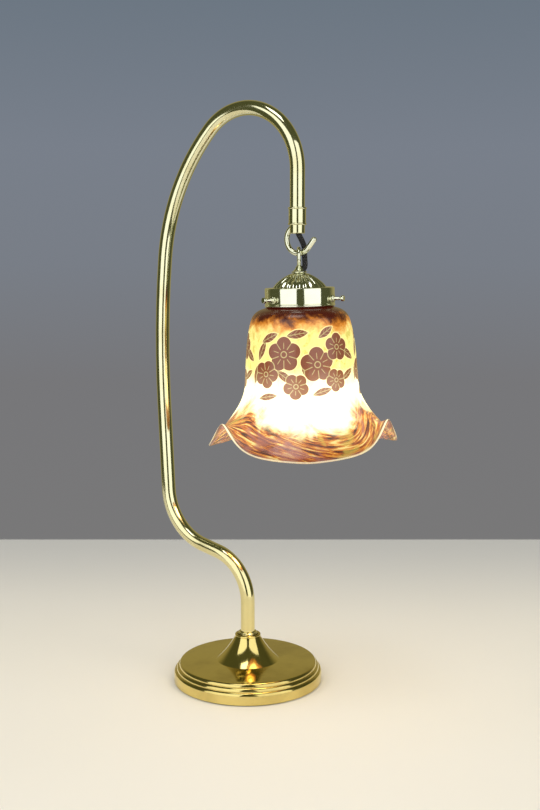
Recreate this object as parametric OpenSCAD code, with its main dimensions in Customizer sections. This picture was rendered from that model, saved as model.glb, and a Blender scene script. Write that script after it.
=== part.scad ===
// Tulip shade table lamp: a swan-neck stem on a round foot, with a glass shade hung from a hook.
// Millimetres. The origin is the centre of the foot's underside, +Z is up and +X points to the shade.

/* [Foot] */
// Diameter of the foot
foot_d = 139; // [134:1:150]
// Height of the plain band round the foot
foot_band_h = 8.4; // [8:0.1:11]
// Number of reeds above the band
reed_n = 3; // [2:1:4]
// Width of one reed
reed_w = 2.4; // [1.6:0.1:2.8]
// Rise of one reed
reed_h = 3.4; // [2.8:0.1:3.8]
// Slope of the flat top of the foot, in degrees
disc_slope = 2.4; // [1:0.1:4]
// Diameter at which the trumpet rises from the flat top
crease_d = 59; // [54:1:66]
// Slope of the trumpet just under the neck's rim, in degrees
neck_slope = 63; // [56:1:68]
// Height of the neck's rim above the table
neck_h = 44.6; // [42:0.2:50]
// Diameter over the neck's rolled rim
neck_d = 24.2; // [23.6:0.2:27]
// Radius of the rolled rim
neck_lip_r = 1.3; // [1:0.1:1.5]
// Wall of the spun foot
shell_wall = 1.2; // [0.9:0.1:1.5]
// Gap between the table and the edge of the spun foot
edge_lift = 0.5; // [0.3:0.1:0.8]
// Thickness of the felt
felt_t = 1.5; // [1:0.1:2.5]
// Diameter of the hub of the iron weight
hub_d = 40; // [38:0.5:44]
// Diameter of the recess for the fixing nut
nut_recess_d = 32; // [30:1:36]
// Depth of the recess for the fixing nut
nut_recess_h = 13; // [12.5:0.1:14]
// Diameter of the cable bush in the band
bush_d = 7.4; // [7:0.1:7.6]

/* [Stem] */
// Outer diameter of the stem tube
tube_d = 13.3; // [12.6:0.1:14.4]
// Wall of the stem tube
tube_wall = 1; // [0.8:0.1:1.4]
// Height at which the tube ends inside the foot
tube_foot_z = 8.6; // [8.2:0.1:9.2]
// Height at which the first bend starts
rise_z = 74.3; // [70:0.5:90]
// Radius of the first bend
low_bend_r = 45; // [38:1:52]
// Turn of the first bend, in degrees
low_bend_a = 77.5; // [70:0.5:82]
// Straight length between the two low bends
link_len = 18; // [10:1:30]
// Radius of the second bend
back_bend_r = 54; // [46:1:62]
// Turn of the second bend, in degrees
back_bend_a = 74.5; // [68:0.5:78]
// Straight length of the back
back_len = 86.5; // [60:1:110]
// Radius of the long sweep above the back
sweep_r = 900; // [700:10:1100]
// Turn of the long sweep, in degrees
sweep_a = 8.7; // [6:0.1:11]
// Radius of the shoulder
shoulder_r = 190; // [170:1:210]
// Turn of the shoulder, in degrees
shoulder_a = 39.5; // [36:0.5:42]
// Radius of the crook at the top
crook_r = 56.2; // [52:0.2:62]
// Straight length of the tube's front end
drop_len = 41.2; // [34:0.2:50]

/* [Hook] */
// Length of the ferrule on the end of the tube
ferrule_len = 15.4; // [14:0.1:18]
// How far the tube reaches into the ferrule
ferrule_grip = 8.6; // [6:0.1:9.5]
// Diameter of the ferrule's body
ferrule_d = 15.2; // [15:0.1:16.4]
// Diameter of the ferrule's beads
bead_d = 16.4; // [16:0.1:17.4]
// Length of the nipple that shows under the ferrule
nipple_len = 7.3; // [6.5:0.1:9]
// Diameter of the nipple
nipple_d = 13.3; // [12.4:0.1:14]
// Bore of the nipple
nipple_bore_d = 8; // [7.6:0.1:8.6]
// Diameter of the hook's rod
hook_rod_d = 4.6; // [4.2:0.1:5]
// Radius of the hook's bowl, at the middle of the rod
hook_bowl_r = 12.5; // [12:0.1:13.5]
// How far the bowl's centre stands in front of the tube's axis
hook_shift = 1.6; // [1:0.1:2]
// Drop from the nipple's end to the bowl's centre
hook_drop = 4.8; // [4.2:0.1:5.4]
// Slope of the hook's straight tip, in degrees
hook_tip_a = 50; // [40:1:55]
// Length of the hook's straight tip
hook_tip_len = 9.6; // [7:0.1:12]

/* [Gallery] */
// Turn of the hung part on its hook, in degrees
hang_turn = 34; // [20:1:35]
// Lean of the hung part, in degrees
hang_lean = 1.4; // [0:0.1:2.5]
// Diameter of the suspension ring's wire
ring_wire_d = 3.4; // [3:0.1:3.6]
// Inside diameter of the suspension ring
ring_eye_d = 12.2; // [12.2:0.1:13.4]
// Height of the cup under the ring
cup_h = 5; // [4.6:0.1:6]
// Diameter of the cup's top
cup_top_d = 8.4; // [8:0.1:9]
// Diameter of the cup's bottom
cup_d = 12.4; // [12:0.1:13.4]
// Height of the fluted dome
dome_h = 12.9; // [11.5:0.1:14]
// Diameter of the fluted dome
dome_d = 47; // [45:0.5:50]
// Number of flutes
flute_n = 24; // [16:1:28]
// Depth of one flute
flute_depth = 1.1; // [0.6:0.1:1.4]
// Thickness of the pressed brass
press_t = 0.9; // [0.8:0.05:1.1]
// Diameter of the gallery band
band_d = 61.4; // [61.2:0.1:63]
// Height of the gallery band
band_h = 16.6; // [15.5:0.1:18]
// Radius of the band's rolled lip
band_lip_r = 1.2; // [1:0.1:1.5]
// Height of the thumb screws above the band's lower edge
screw_h = 6.6; // [6.2:0.1:7.4]
// Diameter of a thumb screw's shank
screw_d = 3; // [2.6:0.1:3.6]
// Diameter of a thumb screw's head
screw_head_d = 5.4; // [4.8:0.1:6.4]
// Length of a thumb screw's head
screw_head_len = 2.6; // [2:0.1:3.2]
// Distance from the gallery's axis to the end of a thumb screw
screw_reach = 41; // [39:0.1:43]

/* [Shade] */
// Diameter of the shade's fitting lip
fitter_d = 58.2; // [57:0.1:58.4]
// Depth of the groove under the fitting lip
fitter_groove = 1.6; // [1.2:0.1:2]
// Thickness of the glass
glass_t = 2.6; // [2.2:0.1:3.2]
// Diameter of the shoulder
shoulder_d = 86; // [82:1:90]
// Drop from the band's edge to the shoulder
shoulder_drop = 9.8; // [9:0.2:12]
// Diameter of the bell's waist
waist_d = 98; // [94:1:102]
// Drop from the band's edge to the waist
waist_drop = 39.2; // [35:0.2:44]
// Diameter where the skirt starts to flare
skirt_d = 107; // [104:1:112]
// Drop from the band's edge to the start of the flare
skirt_drop = 68.2; // [63:0.2:74]
// Diameter over the petals' rims
mouth_d = 170; // [160:1:178]
// Drop from the band's edge to the petals' rims
mouth_drop = 125.2; // [117:0.2:133]
// Number of petals
petal_n = 3; // [2:1:5]
// Diameter over the pinched folds between the petals
fold_d = 164; // [154:1:170]
// Drop from the band's edge to the rim at a fold
fold_drop = 95.2; // [90:0.2:102]
// Half width of a fold, in degrees
fold_width = 15; // [11:1:19]

/* [Lampholder] */
// Outer diameter of the bayonet barrel
barrel_d = 25.6; // [25.2:0.1:26.4]
// Inside diameter of the bayonet barrel
barrel_bore_d = 22.8; // [22.6:0.1:23.4]
// Length of the bayonet barrel
barrel_len = 29; // [27:0.5:32]
// Diameter of the lampholder's cap
cap_d = 30; // [29:0.2:31.4]
// Height of the lampholder's cap
cap_h = 19; // [18:0.5:21]
// Diameter of the contact plungers
plunger_d = 3.6; // [3:0.1:4]
// Distance between the contact plungers
plunger_gap = 8; // [7.4:0.1:8.6]

/* [Bulb] */
// Diameter of the bulb's cap
bulb_cap_d = 22; // [21.8:0.1:22.2]
// Length of the bulb's cap
bulb_cap_len = 25; // [24:0.5:26]
// Diameter of the bulb's globe
globe_d = 60; // [54:1:64]
// Length of the bulb from its cap's end to the tip of the globe
bulb_len = 104; // [100:1:108]
// Diameter of the bayonet pins
pin_d = 2; // [1.8:0.1:2.2]
// Turn that frees the bulb, in degrees
bayonet_turn = 22; // [16:1:28]

/* [Hidden] */
$fn = 96;
// Clearances: round a fixed piece, and between pieces that move past each other
fit = 0.06;
gap = 0.3;
turn_fit = 0.12;
// Step and lap at the joins of a bent tube or rod
hair = 0.05;
lap = 0.2;

foot_r = foot_d / 2;
disc_r = foot_r - reed_n * reed_w;
disc_z = foot_band_h + reed_n * reed_h;
lip_in = neck_d / 2 - neck_lip_r;
// The trumpet is one arc, from the crease in the flat top to just under the rolled rim
crease = [crease_d / 2, disc_z + (disc_r - crease_d / 2) * tan(disc_slope)];
neck_foot = [lip_in + 0.6 * neck_lip_r, neck_h - 1.6 * neck_lip_r];
chord_a = atan2(neck_foot[1] - crease[1], crease[0] - neck_foot[0]);
crease_slope = 2 * chord_a - neck_slope;
trumpet_r = norm(neck_foot - crease) / (2 * sin(neck_slope - chord_a));
trumpet_c = neck_foot + trumpet_r * [sin(neck_slope), cos(neck_slope)];
// Height of the underside of the flat top at radius r
function under_z(r) = disc_z - shell_wall / cos(disc_slope) + (disc_r - r) * tan(disc_slope);
weight_r = foot_r - shell_wall - 1.2;
bush_z = felt_t + bush_d / 2 + 0.1;

flex_d = 4.8;
flex_z = felt_t + flex_d / 2 + 0.4;
tube_r = tube_d / 2 + hair;
tube_bore_d = tube_d - 2 * tube_wall;
collar_d = 18;
collar_top = neck_h - 0.3;
collar_h = 5;
washer_t = 1;
nut_h = 3.6;
washer_z = felt_t + nut_recess_h - washer_t - fit;
nut_z = washer_z - nut_h - fit;

// The stem as a run of [straight length, 0] and [bend radius, turn] pairs.
// A positive turn bends away from the shade, and the crook takes what is left to point straight down.
crook_a = 180 + low_bend_a - back_bend_a - sweep_a - shoulder_a;
STEM = [
    [rise_z - tube_foot_z, 0],
    [low_bend_r, low_bend_a],
    [link_len, 0],
    [back_bend_r, -back_bend_a],
    [back_len, 0],
    [sweep_r, -sweep_a],
    [shoulder_r, -shoulder_a],
    [crook_r, -crook_a],
    [drop_len, 0],
];
// Where a run ends, as [x, z], from a start point and a heading in degrees above +X
function step_end(p, h, s) = s[1] == 0
    ? p + s[0] * [cos(h), sin(h)]
    : p + s[0] * sign(s[1]) * [sin(h + s[1]) - sin(h), cos(h) - cos(h + s[1])];
function run_end(segs, p, h = 90, i = 0) = i == len(segs)
    ? p
    : run_end(segs, step_end(p, h, segs[i]), h + segs[i][1], i + 1);
tube_end = run_end(STEM, [0, tube_foot_z]);
front_x = tube_end[0];
ferrule_z = tube_end[1] + ferrule_grip - ferrule_len;
nipple_z = ferrule_z - nipple_len;

hook_x = front_x + hook_shift;
bowl_z = nipple_z - hook_drop;
rod_z = bowl_z - hook_bowl_r;
// The hung part rocks on the middle of its ring's wire, where that rests on the hook
pivot_z = rod_z + hook_rod_d / 2 + gap + ring_wire_d / 2;

// Heights in the hung part's own frame, whose origin is the pivot
ring_r = (ring_eye_d + ring_wire_d) / 2;
cup_top_z = -2 * ring_r - 0.3;
cup_z = cup_top_z - cup_h;
stud_d = 10;
stud_bore_d = 7;
stud_top = cup_z + 1.6;
dome_z = cup_z - fit;
dome_hole_d = stud_d + 4 * fit;
flange_z = dome_z - dome_h;
plate_z = flange_z - press_t;
nut_under = plate_z - fit - 3;
band_z = flange_z - band_h;
band_r = band_d / 2;
screw_z = band_z + screw_h;
screw_tip = fitter_d / 2 - fitter_groove + gap;
screw_azimuths = [-51, 69, 189];
boss_d = 6.4;
boss_h = 1.4;

// The glass hangs by its fitting lip on the three thumb screws
lip_r = fitter_d / 2;
groove_r = lip_r - fitter_groove;
glass_top = flange_z - press_t - 0.8;
lip_z = screw_z + screw_d / 2 + gap;

// The lampholder is screwed on the stud under the gallery
holder_z = nut_under - fit;
stud_bottom = holder_z - 5;
cap_wall = 0.9;
cap_base_z = holder_z - cap_h;
barrel_top = cap_base_z + 7;
barrel_bottom = barrel_top - barrel_len;
insulator_top = barrel_top + 4;
insulator_bottom = barrel_top - 10;
plunger_out = 3;
bulb_top = insulator_bottom - plunger_out - 0.2;
pin_z = bulb_top - 7;
pin_reach = 1.4;
slot_w = pin_d + 2 * gap;
globe_r = globe_d / 2;
globe_c = bulb_top - bulb_len + globe_r;
bulb_wall = 0.8;
cap_end_z = bulb_top - bulb_cap_len;

// Points on a bow from angle a to b
function bow(c, r, a, b, n) = [for (i = [0:n]) c + r * [cos(a + (b - a) * i / n), sin(a + (b - a) * i / n)]];
// Point at t on a cubic curve with four guides
function curve(p, t) = pow(1 - t, 3) * p[0] + 3 * t * pow(1 - t, 2) * p[1]
    + 3 * t * t * (1 - t) * p[2] + pow(t, 3) * p[3];
function unit(v) = v / norm(v);

// Wall of a closed skin: rings of equal length, joined in a loop from the last ring to the first
module looped_skin(rings) {
    n = len(rings[0]);
    m = len(rings);
    polyhedron(
        points = [for (r = rings) for (p = r) p],
        faces = [for (j = [0:m - 1], i = [0:n - 1])
            let (a = j * n + i, b = j * n + (i + 1) % n, c = ((j + 1) % m) * n + i,
                d = ((j + 1) % m) * n + (i + 1) % n)
            each [[a, b, d], [a, d, c]]],
        convexity = 10
    );
}

// Round cord of given diameter along a list of points
module cord(route, d, sides = 10) {
    n = len(route);
    dirs = [for (i = [0:n - 1]) unit(route[min(i + 1, n - 1)] - route[max(i - 1, 0)])];
    side = unit(cross(dirs[0], [0.3, 1, 0.2]));
    rings = [for (i = [0:n - 1])
        let (u = unit(side - (side * dirs[i]) * dirs[i]), v = cross(dirs[i], u))
        [for (k = [0:sides - 1]) route[i] + d / 2 * (cos(360 * k / sides) * u + sin(360 * k / sides) * v)]];
    polyhedron(
        points = [for (r = rings) for (p = r) p],
        faces = concat(
            [for (j = [0:n - 2], k = [0:sides - 1])
                let (a = j * sides + k, b = j * sides + (k + 1) % sides)
                each [[a, b, b + sides], [a, b + sides, a + sides]]],
            [[for (k = [sides - 1:-1:0]) k], [for (k = [0:sides - 1]) (n - 1) * sides + k]]
        ),
        convexity = 10
    );
}

// One round bar or tube through the straight stretches and bends of segs, which all lie in the XZ plane.
// Every second stretch is a hair fatter and laps into its neighbours, so that the whole is one solid.
module run(segs, d, bore = 0, i = 0) {
    last = len(segs) - 1;
    s = segs[i];
    even = i % 2 == 0;
    more = even ? hair : 0;
    back = even && i > 0 ? lap : 0;
    ahead = even && i < last ? lap : 0;
    if (s[1] == 0) {
        translate([0, 0, -back]) linear_extrude(s[0] + back + ahead) section(d, bore, more);
        if (i < last) translate([0, 0, s[0]]) run(segs, d, bore, i + 1);
    } else {
        turn = abs(s[1]);
        degree = s[0] * PI / 180;
        mirror([s[1] > 0 ? 0 : 1, 0, 0]) translate([-s[0], 0, 0]) rotate([90, 0, 0])
            rotate_extrude(angle = turn + (back + ahead) / degree, start = -back / degree)
                translate([s[0], 0]) section(d, bore, more);
        if (i < last) translate([sign(s[1]) * s[0] * (cos(turn) - 1), 0, s[0] * sin(turn)])
            rotate([0, -s[1], 0]) run(segs, d, bore, i + 1);
    }
}

module section(d, bore, more) {
    difference() {
        circle(d = d + 2 * more);
        if (bore > 0) circle(d = bore - 2 * more);
    }
}

// Places children in the hung part's frame
module hung() {
    translate([hook_x, 0, pivot_z]) rotate([0, 0, hang_turn]) rotate([0, -hang_lean, 0]) children();
}

// Ring of revolution between two radii and two heights
module sleeve(r_in, r_out, z0, z1) {
    rotate_extrude() translate([r_in, z0]) square([r_out - r_in, z1 - z0]);
}

module base_shell() {
    reeds = [for (i = [0:reed_n - 1], a = [0:22.5:90])
        [foot_r - (i + 1) * reed_w + reed_w * cos(a), foot_band_h + i * reed_h + reed_h * sin(a)]];
    outside = bow(trumpet_c, trumpet_r, 270 - crease_slope, 270 - neck_slope, 10);
    inside = bow(trumpet_c, trumpet_r + shell_wall, 270 - neck_slope, 270 - crease_slope, 10);
    color("darkgoldenrod") difference() {
        rotate_extrude() {
            polygon(concat(
                [[foot_r - shell_wall, edge_lift], [foot_r, edge_lift]],
                reeds, outside, inside,
                [[crease[0] - 0.5, under_z(crease[0] - 0.5)], [disc_r, under_z(disc_r)], [foot_r - shell_wall, foot_band_h]]
            ));
            translate([lip_in, neck_h - neck_lip_r]) circle(neck_lip_r);
        }
        // Hole for the cable bush
        translate([-foot_r, 0, bush_z]) rotate([0, 90, 0]) cylinder(d = bush_d, h = 12, center = true);
    }
}

module base_weight() {
    hub_r = hub_d / 2;
    low = felt_t + fit;
    color("dimgray") difference() {
        rotate_extrude() polygon([
            [tube_r + fit, low], [foot_r - shell_wall - 6, low], [weight_r, low + 5],
            [weight_r, foot_band_h - 1], [disc_r - 2, under_z(disc_r - 2) - gap],
            [hub_r + 8, under_z(hub_r + 8) - gap], [hub_r + 4, disc_z - 3],
            [hub_r, disc_z + 2], [hub_r - 4, disc_z + 4], [tube_r + fit, disc_z + 4]
        ]);
        translate([0, 0, felt_t - 1]) cylinder(d = nut_recess_d, h = nut_recess_h + 1);
        // Channel for the flex, from the recess to the bush
        translate([-foot_r, -bush_d / 2 - gap, felt_t - 1]) cube([foot_r, bush_d + 2 * gap, bush_d + 1.6]);
    }
}

module base_felt() {
    color("darkgreen") cylinder(r = foot_r - shell_wall - 0.6, h = felt_t);
}

module cable_bush() {
    wall_x = foot_r - shell_wall;
    color("black") translate([-wall_x, 0, bush_z]) rotate([0, -90, 0]) difference() {
        union() {
            translate([0, 0, -1.4]) cylinder(d = bush_d - 2 * fit, h = shell_wall + 2.6);
            translate([0, 0, shell_wall + 0.5]) cylinder(d1 = bush_d + 1, d2 = bush_d, h = 1.8);
        }
        translate([0, 0, -2]) cylinder(d = flex_d + 2 * fit, h = 12);
    }
}

module fixing_washer() {
    color("silver") sleeve(tube_r + fit, nut_recess_d / 2 - 2, washer_z, washer_z + washer_t);
}

module fixing_nut() {
    color("goldenrod") translate([0, 0, nut_z]) difference() {
        cylinder(d = 22, h = nut_h, $fn = 6);
        translate([0, 0, -1]) cylinder(r = tube_r + fit, h = nut_h + 2);
    }
}

module neck_collar() {
    low = collar_top - collar_h;
    inside_r = tube_r + fit;
    color("gold") rotate_extrude() {
        translate([inside_r, low]) square([collar_d / 2 - inside_r, collar_h - 1]);
        translate([inside_r, low]) square([collar_d / 2 - 1 - inside_r, collar_h]);
        translate([collar_d / 2 - 1, collar_top - 1]) circle(1);
        translate([inside_r, low]) square([lip_in - neck_lip_r / 2 - inside_r, 1.2]);
    }
}

module stem_tube() {
    color("goldenrod") translate([0, 0, tube_foot_z]) run(STEM, tube_d, tube_bore_d);
}

module stem_ferrule() {
    bore_r = tube_r + fit;
    bead_h = 1.7;
    stop = tube_end[1] - fit;
    color("gold") about_front() {
        sleeve(bore_r, ferrule_d / 2, stop, ferrule_z + ferrule_len);
        sleeve(nipple_bore_d / 2 + 1.6, ferrule_d / 2, ferrule_z, stop);
        for (z = [ferrule_z, ferrule_z + ferrule_len - bead_h])
            sleeve(bore_r, bead_d / 2, z, z + bead_h);
    }
}

// Moves a piece that was drawn round Z to the axis of the tube's front end
module about_front() {
    translate([front_x, 0, 0]) children();
}

module hook_nipple() {
    spigot_r = nipple_bore_d / 2 + 1.6 - fit;
    color("goldenrod") about_front() {
        sleeve(nipple_bore_d / 2, nipple_d / 2, nipple_z, ferrule_z - fit);
        sleeve(nipple_bore_d / 2, spigot_r, ferrule_z - 1, tube_end[1] - 1);
    }
}

module hook() {
    root_a = 118;
    tip_from = 270 + hook_tip_a;
    tip_r = hook_rod_d / 2 + hair;
    color("goldenrod") difference() {
        translate([hook_x, 0, bowl_z]) rotate([90, 0, 0]) {
            rotate_extrude(angle = tip_from - root_a, start = root_a)
                translate([hook_bowl_r, 0]) circle(d = hook_rod_d);
            translate(hook_bowl_r * [cos(tip_from), sin(tip_from), 0]) rotate([0, 90, hook_tip_a])
                rotate_extrude() intersection() {
                    union() {
                        translate([0, -lap]) square([tip_r, hook_tip_len + lap]);
                        translate([0, hook_tip_len]) circle(tip_r);
                    }
                    translate([0, -lap]) square([tip_r + 1, hook_tip_len + 10]);
                }
        }
        // The rod is brazed to the side of the nipple, under the ferrule
        about_front() {
            translate([0, 0, nipple_z - 1]) cylinder(d = nipple_d, h = nipple_len + 8);
            translate([0, 0, ferrule_z - fit]) cylinder(d = bead_d + 2, h = 8);
        }
    }
}

// Flex inside the foot, from the bush to the end of the tube
FOOT_FLEX = [[1.9 - foot_r + shell_wall, 0, 0], [-54, 0, 0], [-42, 0, 0], [-30, 0, 0], [-18, 0, 0], [-9, 0, 0.2],
    [-4.4, 0, 1.6], [-1.4, 0, 4.6], [0, 0, 9], [0, 0, 14]];

module foot_flex() {
    color("black") cord([for (p = FOOT_FLEX) p + [0, 0, flex_z]], flex_d);
}

// The flex leaves the nipple here
flex_out_z = nipple_z + 1.4;

module stem_flex() {
    start = 14 + flex_z - tube_foot_z;
    inside = concat([[STEM[0][0] - start, 0]], [for (i = [1:len(STEM) - 1]) STEM[i]]);
    color("black") {
        translate([0, 0, tube_foot_z + start]) run(inside, flex_d);
        about_front() translate([0, 0, flex_out_z]) cylinder(d = flex_d + 4 * hair, h = tube_end[1] - flex_out_z + lap);
    }
}

// Flex past the hook. Offsets from the tube's axis at the pivot's height, turned with the hung part
UPPER_FLEX = [[0.02, 0.02, 13.3], [0.9, 0.7, 11.6], [2.2, 1.7, 9.6], [3.7, 2.8, 7.2], [5, 3.4, 4.8],
    [5.9, 3.7, 2.6], [6.19, 3.8, 1.1], [6.2, 3.8, 0.18]];
// Offsets from the pivot, down to the ring, and then from the top of the cup
LOWER_FLEX = [[4.9, 4.7, -0.18], [4.9, 4.69, -1.1], [4.95, 4.1, -3.8], [5, 3.4, -7], [5.1, 2.6, -10.4]];
CUP_FLEX = [[5.2, 1.8, 2.6], [5.1, 1.3, 1], [4.7, 1, -0.6], [3.6, 0.8, -2.2], [2.3, 0.5, -4],
    [1.2, 0.2, -5.8], [0.5, 0, -7.6], [0.1, 0, -9.6], [0, 0, -11.6]];

module hook_flex_upper() {
    top = [0, 0, flex_out_z - gap - pivot_z];
    color("black") translate([front_x, 0, pivot_z]) rotate([0, 0, hang_turn])
        cord(concat([top], UPPER_FLEX), flex_d);
}

module hook_flex_lower() {
    color("black") hung() cord(concat(LOWER_FLEX, [for (p = CUP_FLEX) p + [0, 0, cup_top_z]]), flex_d);
}

// Slanting hole in the cup's shoulder, through which the flex reaches the bore of the stud
module flex_way() {
    high = [6.2, 1.4, cup_top_z + 2];
    low = [0.9, 0.1, cup_top_z - 6];
    v = low - high;
    translate(high) rotate([0, acos(v[2] / norm(v)), atan2(v[1], v[0])])
        cylinder(d = flex_d + 0.8, h = norm(v));
}

module suspension_ring() {
    color("gold") hung() difference() {
        translate([0, 0, -ring_r]) rotate([0, 90, 0])
            rotate_extrude() translate([ring_r, 0]) circle(d = ring_wire_d);
        // The ring is brazed on the cup's flat top
        translate([-20, -20, cup_top_z - 20]) cube([40, 40, 20]);
    }
}

module loop_cup() {
    color("gold") hung() difference() {
        translate([0, 0, cup_z]) cylinder(d1 = cup_d, d2 = cup_top_d, h = cup_h);
        translate([0, 0, cup_z - 1]) cylinder(d = stud_d + 2 * fit, h = stud_top - cup_z + 1 + fit);
        flex_way();
    }
}

module gallery_stud() {
    color("goldenrod") hung() difference() {
        sleeve(stud_bore_d / 2, stud_d / 2, stud_bottom, stud_top);
        flex_way();
    }
}

// Outline of the dome from its top to its edge, as [radius, drop] shares of its size
DOME = [[0.12, 0], [0.26, 0.04], [0.34, 0.08], [0.45, 0.17], [0.55, 0.27], [0.64, 0.38], [0.74, 0.52],
    [0.84, 0.68], [0.93, 0.85], [1, 1]];

module gallery_dome() {
    n = flute_n * 4;
    m = len(DOME) - 1;
    line = [for (p = DOME) [p[0] * dome_d / 2, dome_z - p[1] * dome_h]];
    // Outward normal at each point of the outline
    out = [for (i = [0:m]) let (d = unit(line[min(i + 1, m)] - line[max(i - 1, 0)])) [-d[1], d[0]]];
    depth = [for (p = line) flute_depth * min(1, max(0, (p[0] - 6) / 12))];
    // The sheet is as thick at the top and the edge, which are flat, as along the wall
    outer = [for (i = [0:m]) [for (k = [0:n - 1])
        let (dip = depth[i] * (i == m ? 0.5 : 1) * (1 - cos(360 * k * flute_n / n)) / 2,
            p = line[i] - dip * (i == m ? [1, 0] : out[i]))
        [p[0] * cos(360 * k / n), p[0] * sin(360 * k / n), p[1]]]];
    inner = [for (i = [m:-1:0]) [for (k = [0:n - 1])
        let (dip = depth[i] * (i == m ? 0.5 : 1) * (1 - cos(360 * k * flute_n / n)) / 2,
            w = i == m ? [1, 0] : i == 0 ? [0, 1] : out[i],
            p = line[i] - (dip + press_t) * w)
        [p[0] * cos(360 * k / n), p[0] * sin(360 * k / n), p[1]]]];
    color("gold") hung() difference() {
        looped_skin(concat(outer, inner));
        translate([0, 0, dome_z - 5]) cylinder(d = dome_hole_d, h = 10);
    }
}

module gallery_band() {
    wall_in = band_r - press_t;
    color("gold") hung() difference() {
        union() {
            rotate_extrude() {
                translate([dome_hole_d / 2, plate_z]) square([band_r - 1 - dome_hole_d / 2, press_t]);
                translate([wall_in, band_z + band_lip_r]) square([press_t, band_h - band_lip_r - 1]);
                translate([band_r - 1, flange_z - 1]) circle(1);
                translate([band_r - band_lip_r + 0.4, band_z + band_lip_r]) circle(band_lip_r);
            }
            for (az = screw_azimuths)
                rotate([0, 0, az - 90]) translate([wall_in + 0.2, 0, screw_z]) rotate([0, 90, 0])
                    cylinder(d = boss_d, h = press_t + boss_h - 0.2);
        }
        for (az = screw_azimuths)
            rotate([0, 0, az - 90]) translate([wall_in - 3, 0, screw_z]) rotate([0, 90, 0])
                cylinder(d = screw_d + 2 * turn_fit, h = 10);
        // Trims the bosses to the inside of the wall
        translate([0, 0, screw_z - boss_d]) cylinder(r = wall_in, h = 2 * boss_d);
    }
}

module gallery_nut() {
    color("goldenrod") hung() translate([0, 0, nut_under]) difference() {
        cylinder(d = 19.6, h = 3, $fn = 6);
        translate([0, 0, -1]) cylinder(d = stud_d + 2 * fit, h = 5);
    }
}

module thumb_screw(az) {
    shank = screw_reach - screw_head_len - screw_tip;
    head_r = screw_head_d / 2;
    color("gold") hung() rotate([0, 0, az - 90]) translate([screw_tip, 0, screw_z]) rotate([0, 90, 0]) {
        cylinder(d = screw_d, h = shank);
        translate([0, 0, shank]) rotate_extrude() polygon([
            [0, 0], [head_r - 0.5, 0], [head_r, 0.5], [head_r, screw_head_len - 0.8],
            [head_r - 0.8, screw_head_len], [0, screw_head_len]
        ]);
    }
}

module thumb_screw_front() {
    thumb_screw(screw_azimuths[0]);
}

module thumb_screw_right() {
    thumb_screw(screw_azimuths[1]);
}

module thumb_screw_rear() {
    thumb_screw(screw_azimuths[2]);
}

// Share of a half petal at which the glass is cut, from a fold at 0 to a petal's middle at 1
PETAL_CUTS = [0, 0.045, 0.09, 0.14, 0.19, 0.25, 0.32, 0.41, 0.52, 0.66, 0.82];
// Direction of the first fold, from the side that faces the viewer
first_fold = 63;

// Neck and bell of the glass, as [radius, height], from the top of the fitting lip to the skirt
function bell() =
    let (waist = [waist_d / 2, band_z - waist_drop], shoulder = [shoulder_d / 2, band_z - shoulder_drop],
        skirt = [skirt_d / 2, band_z - skirt_drop])
    concat(
        [[lip_r - 0.8, glass_top], [lip_r, glass_top - 0.8], [lip_r, lip_z + 0.3], [lip_r - 0.3, lip_z],
            [groove_r + 0.3, lip_z], [groove_r, lip_z - 0.8], [groove_r, band_z + 2.6],
            [groove_r + 0.5, band_z + 0.9], [groove_r + 2.2, band_z - 0.7]],
        [for (t = [0:0.25:1]) curve([[groove_r + 5.6, band_z - 1.6], [groove_r + 10, band_z - 2.8],
            shoulder + [-1.7, 4.2], shoulder], t)],
        [for (t = [0.25:0.25:1]) curve([shoulder, shoulder + [1.7, -4.2], waist + [-0.8, 12.6], waist], t)],
        [for (t = [0.34, 0.67]) curve([waist, waist + [0.8, -9.8], skirt + [-2.3, 10], skirt], t)]
    );

// Skirt of the glass at a share u of the half petal, from the waist's end to the rim
function skirt_line(u) =
    let (w = exp(-pow(u * 180 / petal_n / fold_width, 1.5)), skirt = [skirt_d / 2, band_z - skirt_drop],
        petal = [mouth_d / 2, band_z - mouth_drop + 3 * (1 - u)], fold = [fold_d / 2, band_z - fold_drop],
        rim = w * fold + (1 - w) * petal,
        guide = w * (fold + [-9, -19]) + (1 - w) * (petal + [-14, 25]))
    [for (t = [0:0.125:1]) curve([skirt, skirt + [3.3, -14], guide, rim], t)];

module glass_shade() {
    half = 180 / petal_n;
    shares = concat([for (c = PETAL_CUTS) c], [1], [for (i = [len(PETAL_CUTS) - 1:-1:1]) -PETAL_CUTS[i]]);
    // Angle of each cut, and its share of the half petal
    cuts = [for (p = [0:petal_n - 1], c = shares)
        [first_fold - 90 + 2 * half * p + half * (c < 0 ? 2 + c : c), abs(c)]];
    lines = [for (c = cuts) concat(bell(), skirt_line(c[1]))];
    m = len(lines[0]) - 1;
    // Inner skin, one glass thickness along the normal, with an upright throat
    function inner(l, i) =
        let (d = unit(l[min(i + 1, m)] - l[max(i - 1, 0)]), p = l[i] + glass_t * [d[1], -d[0]])
        i < 8 ? [groove_r - glass_t, l[i][1]] : p;
    skin = [for (i = [0:m]) [for (k = [0:len(cuts) - 1])
        let (a = cuts[k][0], p = lines[k][i]) [p[0] * cos(a), p[0] * sin(a), p[1]]]];
    back = [for (i = [m:-1:0]) if (i == 0 || i > 6) [for (k = [0:len(cuts) - 1])
        let (a = cuts[k][0], p = inner(lines[k], i)) [p[0] * cos(a), p[0] * sin(a), p[1]]]];
    color("orange") hung() looped_skin(concat(skin, back));
}

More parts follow.
